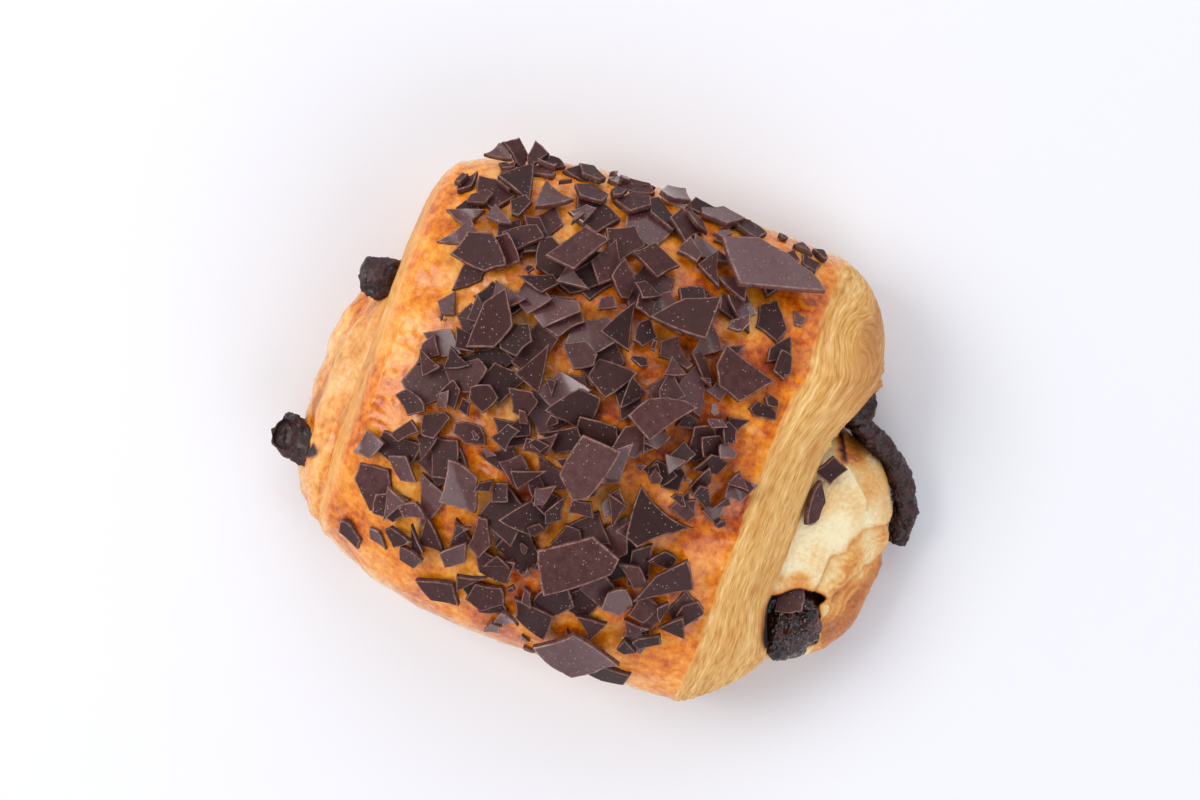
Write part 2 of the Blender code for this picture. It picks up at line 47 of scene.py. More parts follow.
# The rolled sheet
# Laminated butter dough, rolled round two chocolate sticks, proved, brushed with egg and baked. Its outer
# turn is the glazed arch, and at both ends the knife laid its layers open, so they baked into pale, flaky
# strands.
HALF_WIDTH, HEIGHT = 45.2 * MM, 42.0 * MM
MIDDLE_Y = 0.7 * MM
WIDEST_AT = 0.36
BASE_SHARE = 0.82
SIDE_ROUNDNESS, CROWN_ROUNDNESS = 2.25, 2.1
CROWN_X = -6.0 * MM
LEFT_EDGE, RIGHT_EDGE = -43.0 * MM, 27.0 * MM
LEFT_WAIST, RIGHT_WAIST = 0.16, 0.008
LEFT_SHOULDER_X = 5.0 * MM
LEFT_DROP, RIGHT_DROP = 0.15, 0.085
BEYOND_EDGE = 1.3
LUMP = 0.7 * MM
SHEET = 13.0 * MM
LEFT_END, RIGHT_END = 5.0 * MM, 11.5 * MM
FRONT_ROUNDNESS, BACK_ROUNDNESS = 1.6, 2.0
BACK_KNOB = 5.5 * MM
KNOB_FROM_Y, KNOB_TO_Y = 8.0 * MM, 25.0 * MM
FRONT_FOOT = 3.0 * MM
FOOT_FROM_Y, FOOT_FULL_Y, FOOT_TO_Y = -20.0 * MM, -30.0 * MM, -43.0 * MM
MOUTH_HALF_WIDTH, MOUTH_MIDDLE_Y = 28.0 * MM, -3.0 * MM
MOUTH_SILL, MOUTH_DEPTH = 5.0 * MM, 9.0 * MM
MOUTH_TAPER = 0.06
SKIN_ROWS, LEFT_ROWS, RIGHT_ROWS, MOUTH_ROWS = 100, 34, 98, 9
POINTS_OVER, POINTS_UNDER = 350, 34
CUT_FADE = 2.0 * MM  # the glaze runs out over the first layers of a cut end
EYE = (38.0 * MM, 31.5 * MM)  # the back corner's layers curl round this point
EYE_REACH, EYE_CORE = 10.0 * MM, 3.2 * MM
NOTCH_Y, NOTCH_WIDTH, NOTCH_DEPTH = 19.0 * MM, 5.0 * MM, 2.4 * MM  # the lip tore back here, over the spill
PALE_FOOT = 24.0 * MM  # below this height the tray shaded the skin, and it stayed light
POOLS = (  # where the wash pooled and browned: x, y and radius in mm, and how much darker it is
    (17.0, 4.0, 10.0, 0.08),
    (19.0, -14.0, 8.0, 0.04),
    (-24.0, -18.0, 9.0, 0.05),
    (-6.0, 20.0, 14.0, 0.06),
)
SWELL, CREASE = 0.16, 0.1  # how far the relief stands out, in mm: this on the skin, and the next on the cut
STRAND, LEDGE, LIP_LEDGE, LEAF, FRAY, CUT_PROUD = 0.035, 0.05, 0.14, 0.1, 0.6, 0.1
# EYE_SHADE is painted shade: the swirl's hollow eye drawn darker.
TAN, EYE_SHADE, STREAK, LIP_BROWN, TORN_BROWN = 0.42, 0.12, 0.14, 0.3, 0.25  # shares of the way to scorched
BROWNEST = 0.58  # as far as the oven alone browned the cut
VENT_MIDDLE, VENT_RADII = (43.6, -21.7), (5.8, 7.4)  # in mm, where the front stick burst the dough


def smoothstep(value):
    """0 below 0, 1 above 1, and 3v^2 - 2v^3 between."""
    held = np.clip(value, 0, 1)
    return held * held * (3 - 2 * held)


def superellipse(angle, power):
    """The point of |a|^power + |b|^power = 1 at this angle."""
    cosine, sine = np.cos(angle), np.sin(angle)
    return (
        np.sign(cosine) * np.abs(cosine) ** (2 / power),
        np.sign(sine) * np.abs(sine) ** (2 / power),
    )


def waves(seed, count, shortest, longest, *places):
    """A random field of variance 1: plane waves of random heading, phase and length added up."""
    random = np.random.default_rng(seed)
    total = 0
    for _ in range(count):
        heading = random.normal(size=len(places))
        length = math.exp(random.uniform(math.log(shortest), math.log(longest)))
        heading *= 2 * math.pi / (np.linalg.norm(heading) * length)
        way = sum(h * place for h, place in zip(heading, places))
        total = total + np.cos(way + random.uniform(0, 2 * math.pi))
    return total * math.sqrt(2 / count)


def bell(*offs):
    """A Gaussian of how far off each point is, in shares of the width: 1 in the middle."""
    return np.exp(-sum(off**2 for off in offs))


def arch():
    """The outline over the roll in half-widths and heights, from the tuck at the back to the front one."""
    over = np.linspace(0, math.pi, 400)
    y = superellipse(over, SIDE_ROUNDNESS)[0]
    z = WIDEST_AT + (1 - WIDEST_AT) * superellipse(over, CROWN_ROUNDNESS)[1]
    quarter = np.linspace(0, math.pi / 2, 60)
    tuck_y = BASE_SHARE + (1 - BASE_SHARE) * np.sin(quarter)
    tuck_z = WIDEST_AT * (1 - np.cos(quarter))
    whole_y = np.concatenate([tuck_y[:-1], y, -tuck_y[-2::-1]])
    return whole_y, np.concatenate([tuck_z[:-1], z, tuck_z[-2::-1]])


def way_along(y, z):
    """How far along the full-size outline each of its points is."""
    return np.concatenate([[0], np.cumsum(np.hypot(np.diff(y) * HALF_WIDTH, np.diff(z) * HEIGHT))])


def way_to(x, start, end):
    """The share of the way from start to end that x is at, from 0 to a little past the end."""
    return np.clip((x - start) / (end - start), 0, BEYOND_EDGE)


def waist(x):
    """The roll's half-width at x as a share of the full one: 1 less a power of the way to each end."""
    left, right = way_to(x, LEFT_SHOULDER_X, LEFT_EDGE), way_to(x, CROWN_X, RIGHT_EDGE)
    return 1 - LEFT_WAIST * left**3.6 - RIGHT_WAIST * right**4


def crown(x):
    """The roll's height at x as a share of the full one, in the same way."""
    left, right = way_to(x, CROWN_X, LEFT_EDGE), way_to(x, CROWN_X, RIGHT_EDGE)
    return 1 - LEFT_DROP * left**2.2 - RIGHT_DROP * right**2.2


def lumps(x, y):
    """A slow unevenness of the top: two crossed waves."""
    return LUMP * (
        np.sin(x / (9.5 * MM) + 0.6) * np.cos(y / (13.0 * MM))
        + 0.6 * np.sin(x / (17.0 * MM) - y / (8.0 * MM) + 2.0)
    )


def skin(x, y_unit, z_unit):
    """The glazed arch at x: the outline, scaled by waist and crown, plus the lumps."""
    y = MIDDLE_Y + HALF_WIDTH * waist(x) * y_unit
    z = HEIGHT * crown(x) * z_unit + lumps(x, y) * z_unit**2
    return np.stack(np.broadcast_arrays(x, y, z), axis=-1)


def corner_reach(y):
    """How much further the right end's back and front corners stand out, by y."""
    knob = smoothstep((y - KNOB_FROM_Y) / (KNOB_TO_Y - KNOB_FROM_Y))
    rise = smoothstep((FOOT_FROM_Y - y) / (FOOT_FROM_Y - FOOT_FULL_Y))
    fade = smoothstep((y - FOOT_TO_Y) / (FOOT_FULL_Y - FOOT_TO_Y))
    return BACK_KNOB * knob + FRONT_FOOT * rise * fade


def cut_end(edge, outward, reach, turn, depth, y_unit, z_unit):
    """A cut end. As turn goes from 0 to a quarter circle, the outline shrinks to the mouth while it bulges
    out, and past that, depth takes it back into the mouth."""
    share = 1 - superellipse(turn, FRONT_ROUNDNESS)[0]
    inward = share + MOUTH_TAPER * np.sqrt(depth / MOUTH_DEPTH)
    half = HALF_WIDTH * waist(edge) * (1 - inward) + MOUTH_HALF_WIDTH * inward
    y = MIDDLE_Y * (1 - inward) + MOUTH_MIDDLE_Y * inward + half * y_unit
    sill, top = MOUTH_SILL * inward, HEIGHT * crown(edge) - SHEET * inward
    z = sill + (top - sill) * z_unit + lumps(edge, y) * z_unit**2 * (1 - inward)
    power = FRONT_ROUNDNESS + (BACK_ROUNDNESS - FRONT_ROUNDNESS) * smoothstep(y / KNOB_TO_Y)
    bulge = (1 - (1 - share) ** power) ** (1 / power)
    x = edge + outward * (bulge * (reach + corner_reach(y) * (outward > 0)) - depth)
    return np.stack(np.broadcast_arrays(x, y, z), axis=-1)


def normals_of(points):
    """Unit normals of a grid of closed rings: the cross product of its differences along and round it."""
    along = np.gradient(points, axis=0)
    normal = np.cross(along, np.roll(points, -1, axis=1) - np.roll(points, 1, axis=1))
    normal /= np.maximum(np.linalg.norm(normal, axis=-1, keepdims=True), 1e-12)
    out = points - points.mean(axis=(0, 1))
    return normal * np.sign((normal * out).sum())


def placed(name, data):
    """An object with this mesh, light or camera, in the scene."""
    made = bpy.data.objects.new(name, data)
    bpy.context.scene.collection.objects.link(made)
    return made


def piece(name, points, faces, material, marks, slot, *nodes):
    """A mesh object that rides on the pastry and stands for these nodes, with each mark as an attribute."""
    mesh = bpy.data.meshes.new(name)
    mesh.from_pydata(points.tolist(), [], faces)
    for mark, values in marks.items():
        kind, key = ("FLOAT_VECTOR", "vector") if values.ndim == 2 else ("FLOAT", "value")
        mesh.attributes.new(mark, kind, "POINT").data.foreach_set(key, values.astype(np.float32).ravel())
    turned_out = bmesh.new()
    turned_out.from_mesh(mesh)
    bmesh.ops.recalc_face_normals(turned_out, faces=turned_out.faces[:])
    turned_out.to_mesh(mesh)
    turned_out.free()
    mesh.shade_smooth()
    mesh.materials.append(material)
    made = placed(name, mesh)
    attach(made, "root")
    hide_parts(*nodes)
    return made


def tube(name, rings, material, marks, slot, *nodes):
    """A closed piece through rings of points, each joined to the next, with a fan over each end."""
    rows, count = rings.shape[:2]
    here = np.arange(rows * count).reshape(rows, count)
    beside = np.roll(here, -1, axis=1)
    quads = np.stack([here[:-1], beside[:-1], beside[1:], here[1:]], axis=-1).reshape(-1, 4)
    tips = np.broadcast_to(rows * count + np.array([[0], [1]]), (2, count))
    fans = np.stack([tips, beside[[0, -1]], here[[0, -1]]], axis=-1)
    fans[1] = fans[1, :, [0, 2, 1]].T
    points = np.concatenate([rings.reshape(-1, 3), rings[[0, -1]].mean(axis=1)])
    closed = {}
    for mark, values in marks.items():
        ends = values[[0, -1]].mean(axis=1)
        closed[mark] = np.concatenate([values.reshape(rows * count, *values.shape[2:]), ends])
    faces = quads.tolist() + fans.reshape(-1, 3).tolist()
    return piece(name, points, faces, material, closed, slot, *nodes)


def linear(code):
    """An sRGB hex code as linear red, green, blue and alpha."""
    shares = np.array([int(code[k : k + 2], 16) for k in (1, 3, 5)]) / 255
    return (*np.where(shares <= 0.04045, shares / 12.92, ((shares + 0.055) / 1.055) ** 2.4), 1.0)


def add(tree, kind, settings, inputs, output=0):
    """Adds a node and returns one of its outputs. Settings are its properties or a ramp's stops, and inputs
    are values or sockets."""
    made = tree.nodes.new("ShaderNode" + kind)
    for name, value in settings.items():
        if name == "stops":
            stops = made.color_ramp.elements
            while len(stops) < len(value):
                stops.new(1.0)
            for stop, (place, code) in zip(stops, value):
                stop.position, stop.color = place, linear(code)
        else:
            setattr(made, name, value)
    for name, value in inputs.items():
        if isinstance(value, bpy.types.NodeSocket):
            tree.links.new(value, made.inputs[name])
        else:
            made.inputs[name].default_value = value
    return made.outputs[output]


def material_of(name, **sockets):
    """A Principled material with these values on the shader's own sockets."""
    material = bpy.data.materials.new(name)
    material.use_nodes = True
    shader = material.node_tree.nodes["Principled BSDF"]
    for socket, value in sockets.items():
        shader.inputs[socket.replace("_", " ")].default_value = value
    return material, material.node_tree, shader


def feed(tree, shader, **sources):
    """Links a source to each of these sockets of the shader."""
    for socket, source in sources.items():
        tree.links.new(source, shader.inputs[socket.replace("_", " ")])


# Egg-washed laminated dough: the wash dries to a clear, uneven gloss over amber, freckled and darker where
# it pooled, and the cut layers stay satin straw with tan streaks and browned tips. Its patches are 11 mm
# wide, freckles 1.7 mm and blisters 1.4 mm. A cut layer, really about 0.1 mm, is drawn 0.36 mm thick so that
# it shows.
dough, tree, shader = material_of(
    "egg_washed_dough",
    IOR=1.38,
    Subsurface_Weight=0.05,
    Subsurface_Scale=0.0014,
    Subsurface_Radius=(1.0, 0.5, 0.2),
    Coat_Roughness=0.14,
)
place = add(tree, "TexCoord", {}, {}, "Object")
grain = add(tree, "Attribute", {"attribute_name": "grain"}, {}, "Vector")
cut, bake, pale, thin = [
    add(tree, "Attribute", {"attribute_name": mark}, {}, "Fac") for mark in ("cut", "bake", "pale", "thin")
]
pools = add(tree, "TexNoise", {}, {"Vector": place, "Scale": 90.0, "Detail": 2.0, "Distortion": 0.5})
freckles = add(tree, "TexNoise", {}, {"Vector": place, "Scale": 600.0, "Detail": 4.0, "Roughness": 0.65})
uneven = add(tree, "Mix", {}, {"Factor": 0.55, 2: pools, 3: freckles})
pooled = add(tree, "Math", {"operation": "ADD"}, {0: uneven, 1: thin})
stops = (0.33, "#842800"), (0.43, "#B04A04"), (0.51, "#CE6C0A"), (0.59, "#E0861E"), (0.70, "#EDA84C")
wash = add(tree, "ValToRGB", {"stops": stops}, {"Fac": pooled})
stops = (0.36, "#C47A38"), (0.48, "#D89C56"), (0.62, "#EAC088")
bare = add(tree, "ValToRGB", {"stops": stops}, {"Fac": uneven})
skin_colour = add(tree, "Mix", {"data_type": "RGBA"}, {"Factor": pale, 6: wash, 7: bare}, 2)
fibre_place = add(tree, "VectorMath", {"operation": "MULTIPLY"}, {0: grain, 1: (320.0, 2800.0, 0.0)})
fibres = add(tree, "TexNoise", {"noise_dimensions": "2D"}, {"Vector": fibre_place, "Scale": 1.0})
band_place = add(tree, "VectorMath", {"operation": "MULTIPLY"}, {0: grain, 1: (40.0, 620.0, 0.0)})
bands = add(tree, "TexNoise", {"noise_dimensions": "2D"}, {"Vector": band_place, "Scale": 1.0})
layered = add(tree, "Mix", {}, {"Factor": 0.4, 2: fibres, 3: bands})
stops = (0.34, "#B87E3A"), (0.44, "#CC9850"), (0.52, "#D5A45E"), (0.60, "#DFB16E"), (0.70, "#EAC68E")
straw = add(tree, "ValToRGB", {"stops": stops}, {"Fac": layered})
frayed = add(tree, "Math", {"operation": "MULTIPLY_ADD"}, {0: fibres, 1: 0.4, 2: -0.2})
edge = add(tree, "Math", {"operation": "ADD"}, {0: cut, 1: frayed})
shown = add(tree, "MapRange", {}, {0: edge, 1: 0.25, 2: 0.75, 3: 0.0, 4: 1.0})
colour = add(tree, "Mix", {"data_type": "RGBA"}, {"Factor": shown, 6: skin_colour, 7: straw}, 2)
# The scorch colours also draw painted shade: the swirl's hollow eye on the sheet and a dark spot by the
# front stick on the left tongue.
stops = (0.0, "#CC7A30"), (0.6, "#984E1C"), (1.0, "#20100A")
scorch = add(tree, "ValToRGB", {"stops": stops}, {"Fac": bake})
browned = add(tree, "Mix", {"data_type": "RGBA"}, {"Factor": bake, 6: colour, 7: scorch}, 2)
gloss = add(tree, "MapRange", {}, {0: shown, 1: 0.0, 2: 1.0, 3: 0.25, 4: 0.66})
glaze = add(tree, "MapRange", {}, {0: shown, 1: 0.0, 2: 0.6, 3: 0.25, 4: 0.0})
blisters = add(tree, "TexVoronoi", {}, {"Vector": place, "Scale": 700.0})
wrinkles = add(tree, "TexNoise", {}, {"Vector": place, "Scale": 1000.0, "Detail": 4.0, "Roughness": 0.6})
skin_relief = add(tree, "Mix", {}, {"Factor": 0.55, 2: blisters, 3: wrinkles})
relief = add(tree, "Mix", {}, {"Factor": cut, 2: skin_relief, 3: fibres})
bump = add(tree, "Bump", {}, {"Strength": 0.5, "Distance": 0.0003, "Height": relief})
feed(tree, shader, Base_Color=browned, Roughness=gloss, Coat_Weight=glaze, Normal=bump)

outline_y, outline_z = arch()
outline_way = way_along(outline_y, outline_z)
over_way = np.linspace(0, outline_way[-1], POINTS_OVER)
under_y = np.linspace(-BASE_SHARE, BASE_SHARE, POINTS_UNDER + 2)[1:-1]
y_unit = np.append(np.interp(over_way, outline_way, outline_y), under_y)
z_unit = np.append(np.interp(over_way, outline_way, outline_z), 0 * under_y)
ring_way = np.append(over_way, outline_way[-1] + (under_y + BASE_SHARE) * HALF_WIDTH)

left_turn = np.concatenate([np.full(MOUTH_ROWS, math.pi / 2), np.linspace(math.pi / 2, 0, LEFT_ROWS)[:-1]])
right_turn = np.concatenate([np.linspace(0, math.pi / 2, RIGHT_ROWS)[1:], np.full(MOUTH_ROWS, math.pi / 2)])
mouth_depth = MOUTH_DEPTH * np.linspace(0, 1, MOUTH_ROWS + 1)[1:] ** 1.5
left_depth = np.concatenate([mouth_depth[::-1], np.zeros(LEFT_ROWS - 1)])
right_depth = np.concatenate([np.zeros(RIGHT_ROWS - 1), mouth_depth])
rings = np.concatenate([
    cut_end(LEFT_EDGE, -1, LEFT_END, left_turn[:, None], left_depth[:, None], y_unit, z_unit),
    skin(np.linspace(LEFT_EDGE, RIGHT_EDGE, SKIN_ROWS)[:, None], y_unit, z_unit),
    cut_end(RIGHT_EDGE, 1, RIGHT_END, right_turn[:, None], right_depth[:, None], y_unit, z_unit),
])
crest = POINTS_OVER // 2
steps = np.linalg.norm(np.diff(rings[:, crest], axis=0), axis=1)
along = np.concatenate([[0], np.cumsum(steps)])
left_from, right_from = along[len(left_turn)], along[len(left_turn) + SKIN_ROWS - 1]
layer = np.maximum(left_from - 2.2 * MM - along, along - right_from)[:, None] + np.zeros(len(y_unit))
x, y, z = np.moveaxis(rings, -1, 0)
drift = MM * np.stack([waves(1, 16, 4 * MM, 12 * MM, x, y, z), waves(2, 16, 4 * MM, 12 * MM, x, y, z)])
from_eye = np.hypot(x - EYE[0] + 0.4 * drift[0], 0.8 * (y - EYE[1]) + 0.4 * drift[1])
near_eye = 0.7 * smoothstep((EYE_REACH - from_eye) / EYE_REACH) * smoothstep((z - 14 * MM) / (8 * MM))
layer = layer + (11.0 * MM - from_eye - layer) * near_eye
cut_share = smoothstep((layer + 0.12 * drift[0]) / CUT_FADE) * (1 - 0.45 * (x < LEFT_EDGE))
flow = layer + 0.3 * MM * waves(4, 18, 20 * MM, 50 * MM, x, y, z)
fan = smoothstep((-22 * MM - y) / (14 * MM)) * smoothstep((x - RIGHT_EDGE) / (3 * MM))
strands = -np.abs(waves(5, 60, 0.8 * MM, 1.5 * MM, flow, ring_way / 20))
ledges = -np.abs(waves(6, 40, 1.8 * MM, 3.4 * MM, flow, ring_way / 28))
leaves = np.sin(2 * math.pi * (flow + 0.25 * drift[1]) / (1.5 * MM))
lip = smoothstep((layer - 14 * MM) / (4 * MM)) * (x > RIGHT_EDGE)
torn = lip * smoothstep((y - 8 * MM) / (8 * MM))
swell = waves(7, 30, 7 * MM, 16 * MM, x, y, z)
creases = -np.abs(waves(8, 40, 2.2 * MM, 5 * MM, x, y, z))
on_skin = SWELL * swell + CREASE * creases
on_cut = STRAND * strands + (LEDGE + LIP_LEDGE * lip) * ledges + LEAF * fan * leaves + CUT_PROUD
on_cut = on_cut + FRAY * torn * waves(10, 24, 1.5 * MM, 4 * MM, x, y, z)
height = on_skin * (1 - cut_share) + on_cut * cut_share
rings = rings + normals_of(rings) * (height * MM * smoothstep(z / (3 * MM)))[..., None]
rings[..., 0] -= NOTCH_DEPTH * lip * bell((y - NOTCH_Y) / NOTCH_WIDTH)
tan = TAN * smoothstep((x - 34 * MM) / (6 * MM)) * smoothstep((y - 14 * MM) / (8 * MM))
# Painted shade: the eye of the swirl is drawn browner, for the shade in its hollow.
eye_shade = EYE_SHADE * smoothstep(1.2 - from_eye / EYE_CORE) * near_eye
streaks = np.clip(STREAK * waves(9, 30, 1.5 * MM, 6 * MM, flow, ring_way / 8), 0, 1)
from_vent = np.hypot((x / MM - VENT_MIDDLE[0]) / VENT_RADII[0], (y / MM - VENT_MIDDLE[1]) / VENT_RADII[1])
soiled = smoothstep((1.16 - from_vent + 0.1 * swell) / 0.3)
edge_brown = (LIP_BROWN * lip + TORN_BROWN * torn) * smoothstep(0.6 + 0.5 * swell)
bake_and_shade_share = np.minimum(streaks + tan + eye_shade + edge_brown - 0.15 * fan * leaves, BROWNEST) + soiled
bake_and_shade_share = np.clip(bake_and_shade_share * cut_share, 0, 1)
pale_share = smoothstep((PALE_FOOT + 2 * MM * swell - z) / (10 * MM)) * (1 - cut_share)
thin_share = 0.03 + 0.035 * waves(11, 20, 12 * MM, 30 * MM, x, y, z) + 0.03 * smoothstep(-x / (30 * MM))
for pool_x, pool_y, radius, depth in POOLS:
    thin_share -= depth * np.exp(-((x / MM - pool_x) ** 2 + (y / MM - pool_y) ** 2) / radius**2)
grain_place = np.stack([ring_way + 0 * flow, flow, 0 * flow], axis=-1)
marks = {"grain": grain_place, "cut": cut_share, "bake": bake_and_shade_share, "pale": pale_share, "thin": thin_share}
tube("dough_sheet", rings, dough, marks, "baked_dough", "pastry")

# The inner turn
# The same dough, one turn further in. It pokes out of the mouth at both ends as a flattened tongue. The
# right one is bare of egg wash, cream on top, with folds that browned along their grooves and a hole that
# the chocolate burst. The left one caught some wash and baked golden in long streaks.
RIGHT_TONGUE = dict(x=38.0, y=-7.5, reach=18.6, half=23.5, top=27.0, sill=0.0, fall=0.46, power=2.3)
LEFT_TONGUE = dict(x=-34.5, y=-8.5, reach=21.5, half=30.0, top=29.5, sill=0.5, fall=0.20, power=2.6)
TONGUE_WAIST_Z = 9.0
FOLDS = (  # where one layer ends on the next, in plan from the outer side to the front tip, in mm
    ((55.6, 2.0), (51.9, -0.9), (49.2, -4.8), (46.6, -10.6), (46.2, -15.0), (49.1, -21.0)),
    ((56.2, -4.2), (53.1, -9.1), (50.2, -13.9), (49.7, -17.5), (49.6, -21.5)),
    ((56.0, -8.0), (54.0, -14.5), (52.3, -19.5), (50.5, -22.5)),
)
FOLD_DEPTH = 0.55
SPINE = ((36.8, 14.4), (41.0, 12.4), (42.4, 9.5), (44.5, 7.4), (48.5, 3.6))  # the edge of the top layer
SEEP = ((38.9, 20.4), (39.4, 16.2), (41.3, 12.5), (42.6, 10.1))  # a dark line of chocolate that ran along it
VENT_DEPTH = 3.5
DARK_SPOT, DARK_SPOT_RADII = (-52.6, -22.8), (3.4, 1.8)  # in mm, a dark spot beside the front stick's left end: painted shade of a small hole there
SPINE_RISE, PUFF, AMBER_DIP, LAYER_DIP = 0.8, 0.25, 0.8, 0.05  # in mm
# AMBER_AND_SHADE is partly a caramelised film and partly painted shade of the dip it lies in.
CREAM, FACET, AMBER_AND_SHADE, LOW = 0.08, 0.22, 0.62, 0.24  # how brown each part is, from 0 for raw to 1 for black
GOLDEN, ORANGE, GROOVE, LAYER = 0.18, 0.3, 0.32, 0.07
GOLD_BROWN = 0.58  # as far as the oven alone browned the tongue


def smooth_route(points, count):
    """A smooth path through a few points (cubic Hermite pieces), read at equal shares of its length."""
    at = np.array(points)
    way = np.concatenate([[0], np.cumsum(np.linalg.norm(np.diff(at, axis=0), axis=1))])
    slope = np.gradient(at, way, axis=0)
    where = np.linspace(0, way[-1], count)
    k = np.clip(np.searchsorted(way, where, side="right") - 1, 0, len(at) - 2)
    gap = (way[k + 1] - way[k])[:, None]
    t = (where - way[k])[:, None] / gap
    return (
        (1 + 2 * t) * (1 - t) ** 2 * at[k]
        + t * (1 - t) ** 2 * gap * slope[k]
        + t**2 * (3 - 2 * t) * at[k + 1]
        + t**2 * (t - 1) * gap * slope[k + 1]
    )


def beside(route, x, y):
    """In plan, how far each point is from a route, positive on the route's left."""
    path = smooth_route(route, 80)
    off = np.stack([x, y], axis=-1)[..., None, :] - path
    nearest = (off**2).sum(axis=-1).argmin(axis=-1)
    heading = np.gradient(path, axis=0)[nearest]
    gap = np.take_along_axis(off, nearest[..., None, None], axis=-2)[..., 0, :]
    side = heading[..., 0] * gap[..., 1] - heading[..., 1] * gap[..., 0]
    return np.sign(side) * np.linalg.norm(gap, axis=-1)


def step(side, sharp, gentle):
    """1 at a layer's edge, with a bell's sharp fall on the edge's right and a slow fall on its left."""
    return np.where(side > 0, np.exp(-side / gentle), bell(side / sharp))


def tongue_points(form, outward, rows, columns):
    """A superellipsoid that falls away outward, in mm: a column for each heading and a row for each rise."""
    rise = np.linspace(-0.499 * math.pi, 0.499 * math.pi, rows)[:, None]
    heading = np.linspace(-math.pi, math.pi, columns, endpoint=False)[None, :]
    out, up = superellipse(rise, form["power"])
    across, over = superellipse(heading, form["power"])
    fall = 1 - form["fall"] * np.maximum(out * across, 0) ** 1.5
    height = np.where(up > 0, (form["top"] - TONGUE_WAIST_Z) * fall, TONGUE_WAIST_Z - form["sill"])
    x = form["x"] + form["reach"] * out * across * outward
    y = form["y"] + form["half"] * out * over
    return np.stack(np.broadcast_arrays(x, y, TONGUE_WAIST_Z + up * height), axis=-1)


# Dough with little or no wash: cream and matt, then golden, orange-brown in the grooves, and stained black
# where chocolate boiled over it. Its mottles are 4 mm wide and its crumb 0.7 mm. The fibres, really finer
# than 0.1 mm, are drawn 0.8 mm apart so that they show.
tongue_dough, tree, shader = material_of(
    "unwashed_dough",
    IOR=1.42,
    Subsurface_Weight=0.2,
    Subsurface_Scale=0.002,
    Subsurface_Radius=(1.0, 0.6, 0.3),
)
place = add(tree, "TexCoord", {}, {}, "Object")
grain = add(tree, "Attribute", {"attribute_name": "grain"}, {}, "Vector")
brown = add(tree, "Attribute", {"attribute_name": "brown"}, {}, "Fac")
mottle = add(tree, "TexNoise", {}, {"Vector": place, "Scale": 260.0, "Detail": 5.0, "Roughness": 0.65})
fibre_place = add(tree, "VectorMath", {"operation": "MULTIPLY"}, {0: grain, 1: (120.0, 1300.0, 0.0)})
fibres = add(tree, "TexNoise", {"noise_dimensions": "2D"}, {"Vector": fibre_place, "Scale": 1.0})
mixed = add(tree, "Mix", {}, {"Factor": 0.5, 2: mottle, 3: fibres})
uneven = add(tree, "Math", {"operation": "MULTIPLY_ADD"}, {0: mixed, 1: 0.5, 2: -0.25})
depth = add(tree, "Math", {"operation": "ADD", "use_clamp": True}, {0: brown, 1: uneven})
stops = (
    (0.0, "#ECDDB4"), (0.14, "#E3C692"), (0.3, "#DBA75F"), (0.45, "#CD8438"),
    (0.6, "#AF6224"), (0.75, "#723614"), (0.9, "#20100B"),
)
crust_colour = add(tree, "ValToRGB", {"stops": stops}, {"Fac": depth})
satin = add(tree, "MapRange", {}, {0: depth, 1: 0.1, 2: 0.7, 3: 0.6, 4: 0.25})
crumb = add(tree, "TexNoise", {}, {"Vector": place, "Scale": 1400.0, "Detail": 3.0, "Roughness": 0.6})
relief = add(tree, "Mix", {}, {"Factor": 0.6, 2: fibres, 3: crumb})
bump = add(tree, "Bump", {}, {"Strength": 0.5, "Distance": 0.0003, "Height": relief})
feed(tree, shader, Base_Color=crust_colour, Roughness=satin, Normal=bump)

points = tongue_points(RIGHT_TONGUE, 1, rows=190, columns=340)
x, y, z = np.moveaxis(points, -1, 0)
wander = 0.3 * waves(28, 24, 3, 9, x, y)
past_folds = [beside(fold, x, y) + wander for fold in FOLDS]
upper = smoothstep((z - 3) / 4)
grooves = sum(step(side, 0.6, 1.2) for side in past_folds) * upper
puffs = sum(bell((side + 1.8) / 1.5) + bell((side - 2.4) / 1.4) for side in past_folds) * upper
lines = sum(0.5 * step(side, 0.9, 1.1) + 0.5 * step(side, 0.25, 0.3) for side in past_folds) * upper
golden, orange = smoothstep(past_folds[0] / 2.5), smoothstep(past_folds[1] / 1.5)
layers = np.sin(2 * math.pi * (past_folds[1] + wander) / 1.3) * golden * upper
past_spine = beside(SPINE, x, y)
on_top = smoothstep((z - TONGUE_WAIST_Z) / 3)
spine = step(-past_spine, 0.5, 1.6) * on_top
facet = smoothstep(past_spine / 1.2) * bell((x - 50.0) / 6.5, (y - 7.5) / 6.0)
# Partly the colour of a thin caramelised film in the dip beside the ribbon, partly painted shade of that
# dip.
amber_and_shade = bell((x - 43.8) / 3.2, (y - 13.0) / 3.2)
seep = bell(beside(SEEP, x, y) / 1.3) * on_top
soft = waves(23, 30, 6, 15, x, y, z)
fine = waves(22, 40, 0.9, 2.4, x, y, z)
from_vent = np.hypot((x - VENT_MIDDLE[0]) / VENT_RADII[0], (y - VENT_MIDDLE[1]) / VENT_RADII[1])
from_vent = from_vent + 0.09 * waves(24, 20, 3, 8, x, y)
vent = smoothstep((1.0 - from_vent) / 0.25) * (z > TONGUE_WAIST_Z)
lifted = 0.15 * soft - 0.1 * np.abs(fine) - LAYER_DIP * layers + SPINE_RISE * spine
lifted = lifted - FOLD_DEPTH * grooves + PUFF * puffs - AMBER_DIP * amber_and_shade
points = points + normals_of(points) * lifted[..., None]
points[..., 2] = np.maximum(points[..., 2] - VENT_DEPTH * vent, 0)
low = smoothstep((15 - z) / 12)
brown = CREAM + 0.06 * soft - CREAM * spine + FACET * facet + AMBER_AND_SHADE * amber_and_shade + LOW * low
